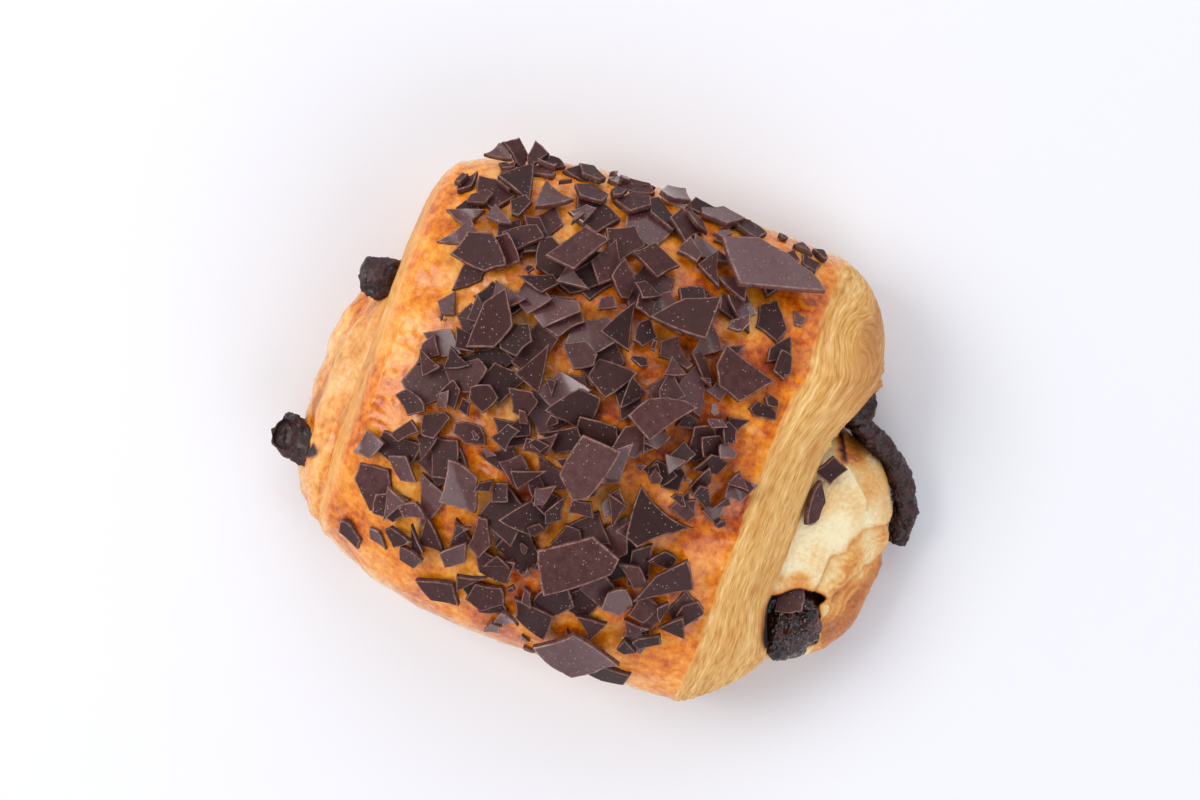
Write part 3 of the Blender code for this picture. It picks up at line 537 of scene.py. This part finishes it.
brown = brown + (GOLDEN + 0.03 * soft) * golden + ORANGE * orange
brown = brown + (GROOVE + 0.12 * wander) * lines + LAYER * layers
brown = np.maximum(np.minimum(brown, GOLD_BROWN), 0.95 * seep)
scorched = smoothstep((1.4 - from_vent) / 0.6) * 0.6 + vent
marks = {
    "grain": np.stack([10 * x, y, z], axis=-1) * MM,
    "brown": np.clip(np.maximum(brown, scorched * (z > 6)), 0, 1),
}
tube("right_tongue", points * MM, tongue_dough, marks, "baked_dough", "pastry")

points = tongue_points(LEFT_TONGUE, -1, rows=150, columns=280)
x, y, z = np.moveaxis(points, -1, 0)
long_ridges = waves(25, 36, 2.5, 6, x, y / 7, z / 2)
soft = waves(26, 30, 5, 14, x, y, z)
fine = waves(27, 40, 0.9, 2.4, x, y / 3, z)
threads = waves(29, 50, 0.8, 2.0, x, y / 6, z)
middle = bell((y + 5) / 9)
from_dark_spot = np.hypot((x - DARK_SPOT[0]) / DARK_SPOT_RADII[0], (y - DARK_SPOT[1]) / DARK_SPOT_RADII[1])
# Painted shade: a dark spot for the shade in a small hole beside the front stick's left end.
dark_spot = smoothstep((1.1 - from_dark_spot + 0.12 * fine) / 0.4) * smoothstep((z - 14) / 3)
points = points + normals_of(points) * (0.3 * long_ridges + 0.2 * soft - 0.1 * np.abs(fine))[..., None]
points[..., 2] = np.maximum(points[..., 2], 0)
marks = {
    "grain": np.stack([y, x + z, 0 * z], axis=-1) * MM,
    "cut": np.clip(0.16 + 0.12 * soft, 0, 1),
    "bake": np.clip(dark_spot, 0, 1),
    "pale": np.clip(0.3 + 0.5 * middle + 0.2 * long_ridges, 0, 0.9),
    "thin": 0.09 + 0.05 * long_ridges + 0.03 * threads - 0.04 * soft,
}
tube("left_tongue", points * MM, dough, marks, "baked_dough", "pastry")

# The chocolate sticks
# Two baking sticks of dark chocolate that run through the roll. In the oven their ends blistered and
# charred, the front one boiled up glossy in the right mouth, and the back one ran out there and set as a
# ribbon down the tongue.
STICK_WIDTH, STICK_THICK = 8.2, 6.4
FRONT_STICK = ((-59.9, -21.0, 13.5), (-50.0, -22.6, 15.5), (34.0, -22.8, 15.0), (41.0, -22.6, 14.5))
BACK_STICK = ((-54.2, 11.8, 21.5), (-40.0, 13.4, 21.0), (34.0, 20.2, 20.0), (45.0, 20.0, 18.0))
STICK_RINGS, SPILL_RINGS = 26, 18
STICK_ROUNDNESS = 3.2
BLUNT_TIP, BLUNT_GAIN = 0.78, 0.2
SMALLEST_BUBBLE = 0.35
MELT_MIDDLE, MELT_RADII = (43.5, -21.8, 14.5), (6.4, 7.6, 8.0)
SPILL = (
    (41.5, 18.4, 18.0), (45.4, 16.2, 14.0), (50.6, 13.6, 10.0),
    (55.2, 9.4, 7.5), (58.0, 3.9, 6.0), (58.5, -1.8, 5.0),
)
SPILL_WIDTH, SPILL_THICK = 4.4, 7.4
COLLAPSED, COLLAPSED_RADII = (-57.6, -21.6), (2.5, 2.9)  # the front stick's left tip sank in within its rind


def bubbles(points, seed, count, smallest, largest):
    """How far blisters lift a surface: the top of many balls, squashed to 0.7, round some of its points."""
    random = np.random.default_rng(seed)
    flat = points.reshape(-1, 3)
    lift = np.zeros(len(flat))
    for middle in flat[random.choice(len(flat), count)]:
        radius = random.uniform(smallest, largest)
        away = ((flat - middle) ** 2).sum(axis=1)
        lift = np.maximum(lift, 0.7 * np.sqrt(np.maximum(radius**2 - away, 0)))
    return lift.reshape(points.shape[:2])


def bar(route, width, thick, solid_rings, rows, columns):
    """Rings round a route: a rounded oblong that swells and shrinks unevenly, drawn in at blunt ends."""
    path = smooth_route(route, rows)
    heading = np.gradient(path, axis=0)
    heading /= np.linalg.norm(heading, axis=1)[:, None]
    aside = np.cross([0, 0, 1], heading)
    aside /= np.linalg.norm(aside, axis=1)[:, None]
    upward = np.cross(heading, aside)
    k = np.linspace(0, solid_rings - 1, rows)
    from_tip = np.minimum(k, solid_rings - 1 - k)
    blunt = np.minimum(1.0, BLUNT_TIP + BLUNT_GAIN * np.minimum(from_tip, 1.0))
    swell = (blunt * smoothstep(0.4 + from_tip * 4) * (1 + 0.05 * np.sin(2.3 * k + 1)))[:, None, None]
    across, up = superellipse(np.linspace(0, 2 * math.pi, columns, endpoint=False), STICK_ROUNDNESS)
    return (
        path[:, None]
        + swell * (across[:, None] * width / 2) * aside[:, None]
        + swell * (up[:, None] * thick / 2) * upward[:, None]
    )


def chocolate(name, rings, seed, count, largest, material, node):
    """Blistered chocolate: bubbles and a fine crust over the rings, given in mm."""
    x, y, z = np.moveaxis(rings, -1, 0)
    lift = bubbles(rings, seed, count, SMALLEST_BUBBLE, largest)
    rough = -0.25 * np.abs(waves(seed, 40, 0.8, 3, x, y, z)) + 0.26 * waves(seed + 100, 24, 3, 8, x, y, z)
    lifted = rings + normals_of(rings) * (0.8 * (lift + rough))[..., None]
    return tube(name, lifted * MM, material, {}, "baked_chocolate", node)


# Charred couverture: fat boiled out of it, so it is nearly black and dull, with sugar specks and glossy
# bubbles. Its soot lies in 2.4 mm patches, pitted every 1.1 mm.
charred, tree, shader = material_of("charred_chocolate", IOR=1.36, Coat_Weight=0.15, Coat_Roughness=0.12)
place = add(tree, "TexCoord", {}, {}, "Object")
soot = add(tree, "TexNoise", {}, {"Vector": place, "Scale": 420.0, "Detail": 6.0, "Roughness": 0.7})
stops = (0.3, "#1A0A09"), (0.5, "#301716"), (0.64, "#4C302E"), (0.8, "#8A6C66")
soot_colour = add(tree, "ValToRGB", {"stops": stops}, {"Fac": soot})
patchy = add(tree, "MapRange", {}, {0: soot, 1: 0.40, 2: 0.56, 3: 0.12, 4: 0.75})
pits = add(tree, "TexVoronoi", {}, {"Vector": place, "Scale": 900.0})
pitted = add(tree, "Mix", {}, {"Factor": 0.5, 2: pits, 3: soot})
bump = add(tree, "Bump", {}, {"Strength": 0.8, "Distance": 0.0005, "Height": pitted})
feed(tree, shader, Base_Color=soot_colour, Roughness=patchy, Normal=bump)

# Boiled couverture: it set with its fat on top, so it is a wet, glossy dark brown with 3 mm streaks.
melted, tree, shader = material_of(
    "boiled_chocolate", IOR=1.33, Roughness=0.12, Coat_Weight=0.35, Coat_Roughness=0.05
)
place = add(tree, "TexCoord", {}, {}, "Object")
streaks = add(tree, "TexNoise", {}, {"Vector": place, "Scale": 300.0, "Detail": 4.0, "Roughness": 0.6})
stops = (0.35, "#160806"), (0.55, "#2C110D"), (0.75, "#50261D")
streak_colour = add(tree, "ValToRGB", {"stops": stops}, {"Fac": streaks})
bump = add(tree, "Bump", {}, {"Strength": 0.6, "Distance": 0.0005, "Height": streaks})
feed(tree, shader, Base_Color=streak_colour, Normal=bump)

front = bar(FRONT_STICK, STICK_WIDTH, STICK_THICK, STICK_RINGS, rows=260, columns=64)
from_collapse = (front[..., :2] - COLLAPSED) / COLLAPSED_RADII
sunk = np.hypot(from_collapse[..., 0], from_collapse[..., 1])
front[..., 2] -= 1.9 * smoothstep((1.05 - sunk) / 0.5) * (front[..., 2] > 13.0)
back = bar(BACK_STICK, STICK_WIDTH, STICK_THICK, STICK_RINGS, rows=260, columns=64)
ribbon = bar(SPILL, SPILL_WIDTH, SPILL_THICK, SPILL_RINGS, rows=190, columns=64)
chocolate("front_stick", front, 31, 170, 1.0, charred, "stick_front")
chocolate("back_stick", back, 32, 200, 1.2, charred, "stick_back")
chocolate("ribbon", ribbon, 33, 120, 0.9, charred, "stick_back")
rise = np.linspace(-0.499 * math.pi, 0.499 * math.pi, 90)[:, None]
turn = np.linspace(0, 2 * math.pi, 160, endpoint=False)[None, :]
girth = np.cos(rise) ** 0.6
ball = np.stack(np.broadcast_arrays(girth * np.cos(turn), girth * np.sin(turn), np.sin(rise)), axis=-1)
chocolate("boiled_chocolate", np.array(MELT_MIDDLE) + ball * MELT_RADII, 34, 110, 1.7, melted, "stick_front")

# The shards
# Dark couverture, set as a thin sheet, snapped into plates and strewn over the egg wash before the bake.
# They kept their flat faces and crisp broken edges, bloomed to a satin grey-brown, and sank a little where
# they lie.
PLATE = 1.1 * MM
SINK = 0.4 * MM
FIT = 0.3 * MM
CELL = 0.5 * MM
STEEPEST = 0.5
HIGHEST = 3.0 * MM
FLAT_WAY, STEEP_LOSS = 18.0 * MM, 0.8
FURTHEST_WAY = 53.0 * MM
SHARD_SEED = 11
SMALL_SHARDS = 430
SMALL_LENGTH, LENGTH_SPREAD = 7.6, 0.26
SHORTEST, LONGEST = 4.2, 11.5
HEAPS = (  # share of the shards, x, way over the crown, and the spreads of both, in mm
    (0.46, -9.0, 6.0, 12.5, 16.0),
    (0.24, -11.0, 36.0, 18.0, 9.0),
    (0.20, -6.0, -26.0, 18.0, 11.0),
    (0.10, -26.0, -6.0, 12.0, 22.0),
)
FORMS = {  # outlines in shares of length and width
    "fan": ((-0.45, -0.50), (0.50, -0.50), (0.40, -0.16), (0.20, 0.16), (-0.08, 0.42), (-0.50, 0.36)),
    "slab": ((-0.50, -0.50), (0.35, -0.50), (0.50, -0.23), (0.30, 0.42), (-0.38, 0.50)),
    "wedge": ((-0.50, -0.50), (0.50, -0.48), (0.18, 0.50), (-0.03, 0.50)),
    "kite": ((-0.50, -0.45), (0.50, -0.50), (0.48, 0.50), (-0.08, 0.21)),
    "shield": ((-0.33, -0.50), (0.06, -0.50), (0.50, -0.39), (0.15, 0.50), (-0.50, 0.49), (-0.47, -0.09)),
    "dome": ((-0.23, -0.50), (0.20, -0.50), (0.50, 0.50), (-0.50, 0.47), (-0.45, -0.12)),
    "leaf": ((-0.34, -0.26), (0.06, -0.50), (0.50, 0.11), (0.19, 0.50), (-0.50, 0.47)),
    "lozenge": ((-0.38, -0.50), (0.50, -0.50), (0.41, 0.44), (-0.50, 0.50)),
}
LARGE_SHARDS = (  # x, y, length, width (mirrored where negative), heading in degrees, and form
    (16.5, 37.0, 18.4, 13.0, 24, "fan"),
    (1.5, -22.5, 15.4, 8.6, 39, "slab"),
    (12.0, -13.0, 12.7, 9.1, 159, "wedge"),
    (17.0, -21.5, 11.4, 6.2, 30, "kite"),
    (8.0, -38.6, 14.0, 10.0, 48, "shield"),
    (-2.5, -7.0, 12.7, -7.3, 255, "slab"),
    (6.5, 6.5, 11.4, 7.0, 54, "fan"),
    (4.5, 23.5, 10.8, 8.6, -3, "kite"),
    (18.0, 16.5, 11.4, 7.4, -15, "dome"),
    (-32.5, 22.0, 11.3, -6.4, -15, "leaf"),
    (-26.0, 11.0, 12.8, 6.4, 84, "leaf"),
    (-17.0, 27.5, 11.0, 6.0, 63, "lozenge"),
)
FALLEN_SHARDS = (  # x, y, z, length, width, heading, lean and form, of shards on the right tongue
    (40.4, 7.2, 25.4, 5.0, 4.0, 60, 12, "lozenge"),
    (39.8, 0.4, 26.6, 8.6, 3.6, 98, 40, "leaf"),
)
EDGE_SHARDS = (  # plates that caught on the steep back and stand out over it
    (-37.6, 41.4, 23.0, 5.4, 3.4, 15, -30, "wedge"),
    (-34.4, 42.6, 23.0, 6.2, 3.2, -40, -24, "slab"),
    (-31.4, 42.6, 23.6, 5.8, 3.6, 64, -14, "kite"),
    (-27.8, 42.4, 23.2, 5.6, 3.6, 2, -32, "leaf"),
    (-22.0, 43.0, 23.6, 6.2, 3.6, -10, -40, "wedge"),
    (-11.0, 44.0, 23.4, 6.6, 3.4, 8, -44, "slab"),
    (2.0, 44.2, 23.4, 6.8, 3.6, -6, -44, "slab"),
    (10.0, 43.9, 23.4, 5.6, 3.2, 14, -44, "wedge"),
)
MELT_SHARD = (42.0, -17.8, 22.0, 6.2, 5.2, 100, -12, "shield")
LOOSE_HEAPS = (  # as HEAPS, for the chips and crumbs
    (0.42, -4.0, 5.0, 15.0, 15.0),
    (0.30, -8.0, 42.0, 20.0, 6.0),
    (0.16, 4.0, -25.0, 13.0, 10.0),
    (0.12, 13.0, 0.0, 5.0, 11.0),
)
CHIPS, CHIP_LENGTH, CHIP_SHORTEST = 560, 5.8, 3.0  # in mm; these lie loose in the gaps between the others
CRUMBS, CRUMB_LENGTH, CRUMB_SHORTEST = 320, 3.0, 1.4
BEVEL = 0.16 * MM


class Crust:
    """The glazed skin as a map by x and the way over the crown, with how high the shards are piled on it."""

    def __init__(self):
        self.y, self.z = arch()
        way = way_along(self.y, self.z)
        self.way = way - way[-1] / 2
        self.xs = np.arange(LEFT_EDGE - 10 * MM, RIGHT_EDGE + 20 * MM, CELL)
        self.ways = np.arange(self.way[0], self.way[-1], CELL)
        self.pile = np.zeros((len(self.xs), len(self.ways)))
        self.taken = np.zeros((len(self.xs), len(self.ways)), bool)

    def point(self, x, way):
        """Way grows to the back, and the outline starts there, so it is read the other way round."""
        return skin(x, np.interp(-way, self.way, self.y), np.interp(-way, self.way, self.z))

    def frame(self, x, way):
        """The point, and the directions along the roll, over the crown and outward."""
        along = self.point(x + MM, way) - self.point(x - MM, way)
        along /= np.linalg.norm(along)
        over = self.point(x, way + MM) - self.point(x, way - MM)
        outward = np.cross(along, over)
        outward /= np.linalg.norm(outward)
        return self.point(x, way), along, np.cross(outward, along), outward

    def way_at(self, x, y):
        """The way over the crown at which the crust stands over (x, y)."""
        ways = np.linspace(-FURTHEST_WAY - 5 * MM, FURTHEST_WAY + 5 * MM, 400)
        return float(np.interp(y, self.point(x, ways)[:, 1], ways))

    def lay(self, x, way, outline, highest, clear=0.0, keep_off=False):
        """Rests a shard: its plane follows the pile under it, lifted until it lies on the highest point."""
        rows = np.flatnonzero(np.abs(self.xs - x) < np.abs(outline).max() + 2 * CELL)
        columns = np.flatnonzero(np.abs(self.ways - way) < np.abs(outline).max() + 2 * CELL)
        dx, dway = np.meshgrid(self.xs[rows] - x, self.ways[columns] - way, indexing="ij")
        inside = np.ones_like(dx, bool)
        wide = grown(outline, CELL)
        for a, b in zip(wide, np.roll(wide, -1, axis=0)):
            inside &= (b[0] - a[0]) * (dway - a[1]) - (b[1] - a[1]) * (dx - a[0]) >= 0
        area = np.ix_(rows, columns)
        patch = self.pile[area]
        under = patch[inside]
        if keep_off and (self.taken[area][inside].any() or not inside.any()):
            return None
        places = np.stack([np.ones(inside.sum()), dx[inside], dway[inside]], axis=1)
        plane = np.linalg.lstsq(places, under, rcond=None)[0]
        plane[1:] = np.clip(plane[1:], -STEEPEST, STEEPEST)
        plane[0] += (under - places @ plane).max() - SINK
        if plane[0] > highest:
            return None
        patch[inside] = np.maximum(under, places @ plane + PLATE + clear)
        self.pile[area] = patch
        if clear:
            self.taken[area] |= inside
        return plane


def grown(outline, by):
    """An outline that goes round to the left, with each side moved out."""
    side = np.roll(outline, -1, axis=0) - outline
    out = np.stack([side[:, 1], -side[:, 0]], axis=1) / np.linalg.norm(side, axis=1)[:, None]
    before = np.roll(out, 1, axis=0)
    return outline + by * (out + before) / (1 + (out * before).sum(axis=1))[:, None]


def turned(outline, degrees):
    """An outline turned to the left."""
    turn = math.radians(degrees)
    return outline @ np.array([[math.cos(turn), math.sin(turn)], [-math.sin(turn), math.cos(turn)]])


def large_outline(length, width, form):
    """A form at its length and width, still going round to the left where the width mirrors it."""
    corners = np.array(FORMS[form]) * (length * MM, width * MM)
    return corners if width > 0 else corners[::-1]


def chance_outline(random, median, least):
    """Three to five corners at uneven turns round an ellipse."""
    count = random.choice((3, 4, 4, 5))
    length = np.clip(random.lognormal(math.log(median), LENGTH_SPREAD), least, LONGEST) * MM
    width = length * random.uniform(0.55, 0.9)
    turn = (np.arange(count) + random.uniform(-0.34, 0.34, count)) * 2 * math.pi / count
    corners = np.stack([np.cos(turn) * length, np.sin(turn) * width], axis=1) / 2
    return turned(corners, random.uniform(0, 360))


def strewn(random, heaps):
    """Where a shard fell, as x and the way over the crown."""
    heap = heaps[random.choice(len(heaps), p=[share for share, *_ in heaps])]
    return (heap[1] + heap[3] * random.normal()) * MM, (heap[2] + heap[4] * random.normal()) * MM


def lay_strewn(crust, seed, count, median, least, heaps, keep_off=True):
    """The shards of one size that stayed on the crust, largest first, as (frame, plane, outline)."""
    random = np.random.default_rng(seed)
    shards = [(chance_outline(random, median, least), *strewn(random, heaps)) for _ in range(count)]
    shards.sort(key=lambda shard: -np.ptp(shard[0], axis=0).prod())
    laid = []
    for outline, x, way in shards:
        along, over = 0.8 * np.abs(outline).max(axis=0)
        if x - along < LEFT_EDGE or x + along > RIGHT_EDGE or abs(way) + over > FURTHEST_WAY:
            continue
        steep = smoothstep((abs(way) - FLAT_WAY) / (FURTHEST_WAY - FLAT_WAY))
        plane = crust.lay(x, way, outline, HIGHEST * (1 - STEEP_LOSS * steep), keep_off=keep_off)
        if plane is not None:
            laid.append((crust.frame(x, way), plane, outline))
    return laid


def snapped(outline, pieces, bow, jag, random):
    """Each side of an outline cut into pieces: bowed as a whole, and its new points moved by chance."""
    share = (np.arange(pieces) / pieces)[:, None]
    after = np.roll(outline, -1, axis=0)
    points = outline[:, None] * (1 - share) + after[:, None] * share
    side = after - outline
    length = np.linalg.norm(side, axis=1)[:, None]
    off = np.stack([side[:, 1], -side[:, 0]], axis=1) / length
    away = random.normal(size=(len(outline), pieces, 1)) * jag
    away[:, 0] = 0
    away += (4 * share * (1 - share)) * (bow * length * random.normal(size=(len(outline), 1)))[:, None]
    return (points + off[:, None] * away).reshape(-1, 2)


def plate(shard, pieces, bow, jag, curl, random):
    """A snapped plate: rings of points up its broken side, over a small bevel and in to its middle."""
    (at, along, over, outward), plane, outline = shard
    rim = snapped(outline, pieces, bow, jag, random)
    middle = rim.mean(axis=0)
    lower = rim + random.normal(size=rim.shape) * jag
    inner = grown(rim, -BEVEL)
    near, halfway = middle + (inner - middle) * 0.95, middle + (inner - middle) * 0.5
    rounds = (  # each ring's outline, height and paleness
        (lower, 0.0, 0.1),
        (rim, PLATE - BEVEL, 0.4),
        (inner, PLATE, 1.0),
        (near, PLATE, 0.0),
        (halfway, PLATE, 0.0),
    )
    reach = np.abs(rim - middle).max()
    points, marks = [], []
    for flat, height, mark in rounds:
        bend = curl * (((flat - middle) @ np.array([0.8, 0.6])) / reach) ** 2
        lift = plane[0] + flat @ plane[1:] + height + bend
        points.append(at + flat[:, :1] * along + flat[:, 1:] * over + lift[:, None] * outward)
        marks.append(np.full(len(flat), mark))
    count = len(rim)
    here = np.arange(count)
    beside = np.roll(here, -1)
    faces = [here[::-1].tolist()]
    for k in range(len(rounds) - 1):
        below, above = k * count, (k + 1) * count
        faces += np.stack([below + here, below + beside, above + beside, above + here], axis=1).tolist()
    faces.append((here + (len(rounds) - 1) * count).tolist())
    return np.concatenate(points), faces, np.concatenate(marks)


def plates(name, shards, pieces, bow, jag, curl, seed, *nodes):
    """Many plates as one piece, each with a tone of its own, which also draws the glossier ones lighter:
    painted sheen.
    """
    random = np.random.default_rng(seed)
    points, faces, edges, tones_and_sheens = [], [], [], []
    start = 0
    for shard in shards:
        tone = random.uniform(0, 1)
        bend = curl * (random.uniform(-1, 1) + 2.5 * smoothstep((tone - 0.7) / 0.15))
        made, sides, edge = plate(shard, pieces, bow, jag, bend, random)
        faces += [[start + k for k in side] for side in sides]
        start += len(made)
        points.append(made)
        edges.append(edge)
        tones_and_sheens.append(np.full(len(made), tone))
    marks = {"edge": np.concatenate(edges), "tone": np.concatenate(tones_and_sheens)}
    made = piece(name, np.concatenate(points), faces, couverture, marks, "couverture", *nodes)
    made.data.set_sharp_from_angle(angle=math.radians(28))
    return made


def fallen(shard):
    """A shard at a place of its own, turned about the upright and then leant over its long side."""
    x, y, z, length, width, heading, lean, form = shard
    turn, lean = math.radians(heading), math.radians(lean)
    along = np.array([math.cos(turn), math.sin(turn), 0])
    over = np.array([-math.sin(turn) * math.cos(lean), math.cos(turn) * math.cos(lean), math.sin(lean)])
    at = np.array([x, y, z]) * MM
    return (at, along, over, np.cross(along, over)), np.zeros(3), large_outline(length, width, form)


# Tempered dark couverture with a little bloom: purplish brown satin, paler and crumbly along the broken
# edges, with specks of sugar. The bloom's mottles are 1.4 mm wide, and the specks, really 0.05 mm, are drawn
# 0.2 mm wide so that they show.
couverture, tree, shader = material_of("snapped_couverture", IOR=1.33, Coat_Roughness=0.12)
place = add(tree, "TexCoord", {}, {}, "Object")
edge, tone = [add(tree, "Attribute", {"attribute_name": mark}, {}, "Fac") for mark in ("edge", "tone")]
bloom = add(tree, "TexNoise", {}, {"Vector": place, "Scale": 700.0, "Detail": 5.0, "Roughness": 0.65})
# Painted sheen: the glossier plates are drawn lighter, on top of the bloom and each plate's own tone.
face_mix = add(tree, "Mix", {}, {"Factor": 0.5, 2: bloom, 3: tone})
stops = (0.25, "#2C1210"), (0.5, "#3F1E1C"), (0.75, "#5C3837")
face = add(tree, "ValToRGB", {"stops": stops}, {"Fac": face_mix})
crumbly = add(tree, "ValToRGB", {"stops": ((0.3, "#4A2A24"), (0.7, "#A67C70"))}, {"Fac": bloom})
edged = add(tree, "Mix", {"data_type": "RGBA"}, {"Factor": edge, 6: face, 7: crumbly}, 2)
dots = add(tree, "TexVoronoi", {}, {"Vector": place, "Scale": 1300.0})
speck = add(tree, "MapRange", {}, {0: dots, 1: 0.10, 2: 0.17, 3: 1.0, 4: 0.0})
rare = add(tree, "TexNoise", {}, {"Vector": place, "Scale": 500.0, "Detail": 1.0})
chosen = add(tree, "MapRange", {}, {0: rare, 1: 0.42, 2: 0.52, 3: 0.0, 4: 0.9})
dusted = add(tree, "Math", {"operation": "MULTIPLY"}, {0: speck, 1: chosen})
specked = add(tree, "Mix", {"data_type": "RGBA"}, {"Factor": dusted, 6: edged, 7: linear("#A88F88")}, 2)
satin = add(tree, "MapRange", {}, {0: tone, 1: 0.6, 2: 0.85, 3: 0.55, 4: 0.22})
polished = add(tree, "MapRange", {}, {0: tone, 1: 0.7, 2: 0.85, 3: 0.0, 4: 0.7})
bump = add(tree, "Bump", {}, {"Strength": 0.2, "Distance": 0.00025, "Height": bloom})
feed(tree, shader, Base_Color=specked, Roughness=satin, Coat_Weight=polished, Normal=bump)

crust = Crust()
small = lay_strewn(crust, SHARD_SEED, SMALL_SHARDS, SMALL_LENGTH, SHORTEST, HEAPS, keep_off=False)
large = []
for x, y, length, width, heading, form in LARGE_SHARDS:
    outline, way = turned(large_outline(length, width, form), heading), crust.way_at(x * MM, y * MM)
    plane = crust.lay(x * MM, way, outline, 2 * HIGHEST, clear=SINK + FIT)
    large.append((crust.frame(x * MM, way), plane, outline))
chips = lay_strewn(crust, SHARD_SEED + 1, CHIPS, CHIP_LENGTH, CHIP_SHORTEST, LOOSE_HEAPS)
crumbs = lay_strewn(crust, SHARD_SEED + 2, CRUMBS, CRUMB_LENGTH, CRUMB_SHORTEST, LOOSE_HEAPS)
loose = [fallen(shard) for shard in FALLEN_SHARDS + EDGE_SHARDS]
plates("small_shards", small + loose, 4, 0.035, 0.04 * MM, 0.4 * MM, 41, "pastry")
plates("chips", chips, 3, 0.035, 0.04 * MM, 0.3 * MM, 44, "pastry")
plates("crumbs", crumbs, 2, 0.02, 0.05 * MM, 0.0, 42, "pastry")
plates("shard_on_melt", [fallen(MELT_SHARD)], 4, 0.02, 0.07 * MM, 0.1 * MM, 43, "stick_front")
for k, shard in enumerate(large, start=1):
    plates(f"large_shard_{k:02d}", [shard], 7, 0.035, 0.03 * MM, 0.35 * MM, 50 + k, f"shard_{k:02d}")

# The stage
# A plain white table in a bright room, under a large softbox up to the left, one behind and a weak one
# opposite.
floor_mesh = bpy.data.meshes.new("table")
floor_mesh.from_pydata([(-4, -4, 0), (4, -4, 0), (4, 4, 0), (-4, 4, 0)], [], [(0, 1, 2, 3)])
placed("table", floor_mesh)
white, tree, shader = material_of("white_table", Base_Color=linear("#E2E2E6"), Roughness=0.6)
floor_mesh.materials.append(white)

scene = bpy.context.scene
scene.view_settings.view_transform = "Standard"
scene.world = bpy.data.worlds.new("bright_room")
scene.world.use_nodes = True
tree = scene.world.node_tree
toward = add(tree, "TexCoord", {}, {}, "Generated")
elevation = add(tree, "SeparateXYZ", {}, {0: toward}, "Z")
walls = add(tree, "ValToRGB", {"stops": ((0.0, "#F8F9FF"), (0.95, "#85888F"))}, {"Fac": elevation})
room = tree.nodes["Background"]
tree.links.new(walls, room.inputs["Color"])
room.inputs["Strength"].default_value = 1.36

IMAGE_TURN = math.radians(20)
IMAGE_RIGHT = np.array([math.cos(IMAGE_TURN), math.sin(IMAGE_TURN), 0])
IMAGE_UP = np.array([-math.sin(IMAGE_TURN), math.cos(IMAGE_TURN), 0])


def softbox(name, right, up, height, size, power, colour):
    """A square area light over the table that looks at the pastry's middle."""
    light = bpy.data.lights.new(name, "AREA")
    light.shape, light.size, light.energy, light.color = "SQUARE", size, power, colour
    made = placed(name, light)
    made.location = right * IMAGE_RIGHT + up * IMAGE_UP + (0, 0, height)
    made.rotation_euler = (Vector((0, 0, 0.02)) - made.location).to_track_quat("-Z", "Y").to_euler()


softbox("key", -0.70, 0.20, 0.90, 0.6, 6.9, (1.0, 0.98, 0.95))
softbox("behind", 0.10, 0.80, 0.80, 0.8, 2.8, (1.0, 1.0, 1.0))
softbox("fill", 0.50, -0.75, 0.80, 0.9, 4.5, (0.96, 0.98, 1.0))

# The camera looks straight down, 700 mm over the pastry's mid-height, turned so that the roll slopes to the
# right.
PIXELS_PER_MM = 5.35
MIDDLE_PIXEL = (612.4, 431.1)
DISTANCE, MID_HEIGHT = 0.700, 0.021
offset = ((600 - MIDDLE_PIXEL[0]) * IMAGE_RIGHT - (400 - MIDDLE_PIXEL[1]) * IMAGE_UP) / PIXELS_PER_MM * MM
camera = bpy.data.cameras.new("camera")
camera.sensor_width = 36.0
camera.lens = camera.sensor_width * PIXELS_PER_MM * DISTANCE / MM / 1200
camera.clip_start, camera.clip_end = 0.01, 20.0
viewer = placed("camera", camera)
viewer.location = offset + (0, 0, DISTANCE + MID_HEIGHT)
viewer.rotation_euler = (0, 0, IMAGE_TURN)
scene.camera = viewer
